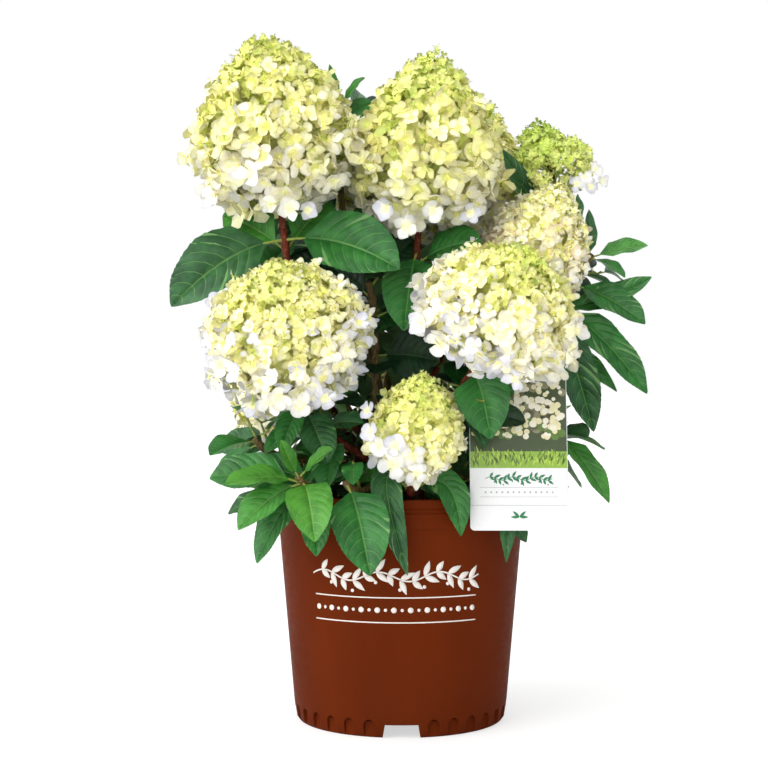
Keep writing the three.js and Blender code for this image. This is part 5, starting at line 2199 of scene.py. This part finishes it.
@dataclass
class Shrub:
    """The canes, leaves and flower heads above the pot."""

    pot: Pot
    trunk: Trunk
    seed: int = 101
    tries: int = 14
    cane_foot: float = 3.7
    cane_tip: float = 3.2
    cane_sides: int = 10
    ring_step: float = 3.5
    node_swell: float = 0.3
    node_reach: float = 3.2
    twig_foot: float = 1.5
    twig_tip: float = 1.0
    stalk_tip: float = 1.4
    extra_pairs: int = 3
    first_leaf: float = 0.12
    small_leaf: float = 0.66
    twigs: list[Curve] = field(default_factory=list)

    def lay_curves(self) -> None:
        """Lays every cane's curve, with the canes of a ring at even steps round the trunk's head."""
        for ring in Ring:
            members = [cane for cane in FLOWERING + LEAFY if cane.ring is ring]
            tips = [cane.head.centre if cane.head else cane.tip for cane in members]
            targets = [math.degrees(math.atan2(tip[1], tip[0])) % 360 for tip in tips]
            order = sorted(range(len(members)), key=lambda i: targets[i])
            step = 360 / len(members)
            mean = sum(targets[who] - at * step for at, who in enumerate(order)) / len(members)
            for at, who in enumerate(order):
                start = direction(mean + at * step, ring.value)
                members[who].bend(start, self.trunk.centre, self.trunk.head_radius)

    def limb(self, sheaf: Sheaf, curve: Curve, radii: Pair, nodes: Sequence[float], slot: int, seed: int) -> None:
        """Adds a cane or a twig with a swelling at each node and the bark's relief.

        Args:
            sheaf: Where it goes.
            curve: Its line.
            radii: Its radius at the foot and at the tip.
            nodes: The shares of its length where leaves stand.
            slot: Its material slot.
            seed: The seed of its relief.
        """
        rng = np.random.default_rng(seed)
        count = max(6, int(curve.length / self.ring_step))
        share = np.linspace(0, 1, count)
        radius = lerp(*radii, share)
        for node in nodes:
            gap = (share - node) * curve.length / self.node_reach
            radius = radius * (1 + self.node_swell * np.exp(-(gap**2)))
        ridges = 1 + 0.05 * np.sin(np.arange(self.cane_sides) * 2.4 + rng.uniform(0, 6))
        rough = ridges[None] * (1 + rng.normal(0, 0.025, (count, self.cane_sides)))
        sheaf.tube(curve.reach(share), radius[:, None] * rough, self.cane_sides, slot)

    def grow_leaves(self, room: Room) -> dict[str, Sheaf]:
        """Grows the leaves of every cane, the shown ones first.

        Args:
            room: What the leaves keep clear of.

        Returns:
            The leaves of each mass, by its node's name.
        """
        masses = {cane.mass: Sheaf() for cane in FLOWERING + LEAFY}
        for cane in FLOWERING + LEAFY:
            for i, shown in enumerate(cane.shown):
                root = cane.curve.reach(shown.at)
                line = leaf_line(root, np.array(shown.tip, float), shown.arch, shown.sway)
                leaf = Leaf(line, direction(*shown.facing), shown.width, shown.green, seed=i)
                room.keep(leaf)
                room.shown.append(leaf.probes())
                leaf.grow(masses[cane.mass])
        count = 0
        for number, cane in enumerate(FLOWERING + LEAFY):
            rng = np.random.default_rng(self.seed + 37 * number)
            low, high = (np.array(corner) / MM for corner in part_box(cane.mass))
            growth = Growth(room, (low - 3, high + 3), masses[cane.mass])
            stand = Stand(cane.curve, cane.rule, cane.greens, rng)
            pairs = cane.rule.pairs + self.extra_pairs
            start = max(self.first_leaf, cane.split - 0.22)
            nodes = lerp(start, 1, (np.arange(pairs) + 0.6) / pairs)
            for pair, at in enumerate(nodes):
                for side in (0, 1):
                    sizes = ((1 - 0.25 * pair / pairs) * (1 - 0.4 * i / self.tries) for i in range(self.tries))
                    count += growth.first(stand, at, pair, side, sizes)
                count += self.grow_twig(cane, at, growth, rng)
        LOG.info("%d leaves grew by rule", count)
        return masses

    def grow_twig(self, cane: Cane, at: float, growth: Growth, rng: Random) -> int:
        """Grows a short side twig with two pairs of smaller leaves.

        Args:
            cane: Its cane.
            at: The share of the cane's length.
            growth: The mass of its leaves.
            rng: The source of its freedom.

        Returns:
            How many leaves it bears.
        """
        run = cane.curve.run(at)
        root, axis = cane.curve.point(run), cane.curve.tangent(run)
        out = unit(around(*across(axis), rng.uniform(0, 2 * np.pi)) + axis * 0.8)
        tip = root + out * cane.rule.length * rng.uniform(0.35, 0.6)
        curve = Curve(root, root + out * 12, tip - UP * 4, tip)
        # Twig leaves can take K, the painted-shade green of inner leaves.
        stand = Stand(curve, cane.rule, (K, *cane.greens), rng)
        sizes = [self.small_leaf - 0.03 * i for i in range(8)]
        grown = 0
        for level, share in enumerate((0.62, 0.97)):
            for side in (0, 1):
                grown += growth.first(stand, share, level, side, sizes)
        if grown:
            self.twigs.append(curve)
        return grown

    def grow_canes(self) -> None:
        """Builds every cane and twig, with the stalk that runs up into each flower head."""
        sheaf = Sheaf()
        for number, cane in enumerate(FLOWERING + LEAFY):
            pairs = cane.rule.pairs
            nodes = lerp(cane.split, 1, (np.arange(pairs) + 0.6) / pairs)
            self.limb(sheaf, cane.curve, (self.cane_foot, self.cane_tip), nodes, 1 if cane.head else 0, number)
            if cane.head:
                foot, axis = cane.head.foot, cane.head.axis
                stalk = Curve(foot - axis * 15, foot, foot + axis * cane.head.size[1] * 0.55)
                self.limb(sheaf, stalk, (self.cane_tip, self.stalk_tip), (), 1, number + 60)
        for number, curve in enumerate(self.twigs):
            self.limb(sheaf, curve, (self.twig_foot, self.twig_tip), (), 2, number + 90)
        barks = (
            Bark("shoot_bark", "4a3a20", "7b6a3c", "a09366"),
            Bark("cane_bark", "4a1a0e", "7c3118", "a0654a"),
            Bark("twig_bark", "5b6b2c", "7f8c42", "9fa45f"),
        )
        made = sheaf.piece("cane_bark", [bark.material() for bark in barks])
        place(made, "bark", ["bough_" + cane.place for cane in FLOWERING])

    def gather(self, name: str, slot: str, parts: list[tuple[str, Sheaf]], materials: list) -> None:
        """Joins sheaves into as few pieces as their size allows and puts them in place.

        Args:
            name: What the pieces are called, before their number.
            slot: The record's material slot.
            parts: The node that each sheaf stands for, and the sheaf.
            materials: Their material slots.
        """
        number, sheaf, nodes = 1, Sheaf(), []
        for node, part in parts:
            if nodes and sheaf.triangles + part.triangles > MOST_TRIANGLES:
                place(sheaf.piece(f"{name}_{number}", materials), slot, nodes)
                number, sheaf, nodes = number + 1, Sheaf(), []
            sheaf.take(part)
            nodes.append(node)
        place(sheaf.piece(f"{name}_{number}", materials), slot, nodes)

    def build(self) -> None:
        """Builds all that grows above the trunk."""
        self.lay_curves()
        canes = FLOWERING + LEAFY
        path = [cane.curve.reach(np.linspace(0.04, 1, 60)) for cane in canes]
        room = Room(self.pot, [cane.head for cane in FLOWERING], np.concatenate(path))
        masses = self.grow_leaves(room)
        self.grow_canes()
        greens = leaf_materials()
        old = [(node, sheaf) for node, sheaf in masses.items() if node not in YOUNG_MASSES and sheaf.count]
        young = [(node, masses[node]) for node in YOUNG_MASSES]
        self.gather("leaves", "leaf", old, greens)
        self.gather("young_leaves", "young_leaf", young, greens)
        petals = petal_materials()
        blooms = {}
        for i, cane in enumerate(FLOWERING):
            blooms[cane.place] = Bloom(cane.head, 300 + 10 * i, HANGING.get(cane.place, ())).grow()
        white = [("bloom_" + name, sheaf) for name, sheaf in blooms.items() if name != "upper_right"]
        self.gather("florets", "flower", white, petals)
        self.gather("green_florets", "green_flower", [("bloom_upper_right", blooms["upper_right"])], petals)


# Studio


@dataclass(frozen=True)
class Sun:
    """A soft light from far away: where it stands, its brightness on white, its breadth and its colour."""

    name: str
    heading: float
    elevation: float
    bright: float
    breadth: float
    colour: Colour = (1.0, 1.0, 1.0)

    def build(self) -> None:
        """Hangs the light."""
        deselect()
        bpy.ops.object.light_add(type="SUN", location=tuple(3 * direction(self.heading, self.elevation)))
        lamp = bpy.context.object
        lamp.name = self.name
        lamp.data.energy = math.pi * self.bright
        lamp.data.angle = math.radians(self.breadth)
        lamp.data.color = self.colour
        lamp.rotation_euler = (math.radians(90 - self.elevation), 0, math.radians(self.heading + 90))


@dataclass
class Studio:
    """The pale floor, the soft lights and the camera."""

    floor_radius: float = 60.0
    camera_at: Triple = (-0.0158, -1.536, 0.3186)
    lens: float = 75.0
    sensor: float = 36.0
    air: Pair = (0.34, 1.06)
    turned_to: Pair = (-0.45, 0.95)
    from_heading: float = 228.0
    from_elevation: float = 8.0
    bounce: float = 0.92
    glow: float = 0.5
    glow_strength: float = 1.2
    suns: tuple[Sun, ...] = (
        Sun("key_light", 218, 30, 0.48, 50, (1.0, 0.995, 0.98)),
        Sun("front_light", 262, 3, 0.2, 40),
        Sun("top_light", 200, 74, 0.22, 70),
        Sun("back_light", 75, 38, 0.3, 60),
    )

    def floor(self) -> None:
        """Lays the pale floor."""
        deselect()
        bpy.ops.mesh.primitive_circle_add(vertices=96, radius=self.floor_radius, fill_type="NGON")
        floor = bpy.context.object
        floor.name = "studio_floor"
        dress(floor, self.paper())

    def paper(self) -> Material:
        """Makes the floor's finish: white to the camera, and dimmer to the light that bounces off it.

        Returns:
            The material.
        """
        sheet = NodeSheet("studio_paper", 1.0, 0.0)
        grain = sheet.noise(30.0)
        matt = []
        for bright in (self.bounce, 1.0):
            matt.append(sheet.add("BsdfDiffuse", color=sheet.blend(grain, (bright * 0.99,) * 3, (bright,) * 3)))
        seen = sheet.mix(self.glow, matt[1], sheet.add("Emission", strength=self.glow_strength))
        both = sheet.mix(sheet.add("LightPath", "Is Camera Ray"), matt[0], seen)
        sheet.feed(sheet.tree.nodes["Material Output"].inputs["Surface"], both)
        return sheet.material

    def camera(self) -> None:
        """Sets up the camera, level and straight on, as the photograph was taken."""
        deselect()
        bpy.ops.object.camera_add(location=self.camera_at, rotation=(math.pi / 2, 0, 0))
        camera = bpy.context.object
        camera.name = "front_camera"
        camera.data.lens = self.lens
        camera.data.sensor_width = self.sensor
        camera.data.clip_end = 100
        bpy.context.scene.camera = camera

    def sky(self) -> None:
        """Fills the room with soft light, more of it from the front, before a white backdrop."""
        world = bpy.data.worlds.new("studio_air")
        nodes = Nodes(world)
        facing = nodes.add("VectorMath", "Value", operation="DOT_PRODUCT", vector=nodes.add("TexCoord", "Generated"))
        facing.node.inputs[1].default_value = tuple(direction(self.from_heading, self.from_elevation))
        bright = nodes.add("MapRange", value=facing)
        for socket, value in zip(bright.node.inputs[1:5], (*self.turned_to, *self.air)):
            socket.default_value = value
        soft, backdrop = nodes.tree.nodes["Background"], nodes.add("Background").node
        nodes.feed(soft.inputs["Strength"], bright)
        for node in (soft, backdrop):
            node.inputs["Color"].default_value = (1.0, 1.0, 1.0, 1.0)
        both = nodes.mix(nodes.add("LightPath", "Is Camera Ray"), soft.outputs[0], backdrop.outputs[0])
        nodes.feed(nodes.tree.nodes["World Output"].inputs["Surface"], both)
        bpy.context.scene.world = world

    def build(self) -> None:
        """Sets up the studio."""
        self.floor()
        for sun in self.suns:
            sun.build()
        self.sky()
        bpy.context.scene.view_settings.view_transform = "Standard"
        self.camera()


def main() -> None:
    """Builds the studio and the plant."""
    logging.basicConfig(level=logging.INFO, format="%(message)s")
    deselect()
    Studio().build()
    pot = Pot()
    pot.build()
    PotPrint(pot).build()
    Label().build()
    soil = Soil(pot)
    soil.build()
    trunk = Trunk(soil)
    trunk.build()
    Shrub(pot, trunk).build()
    deselect()


if __name__ == "__main__":
    main()
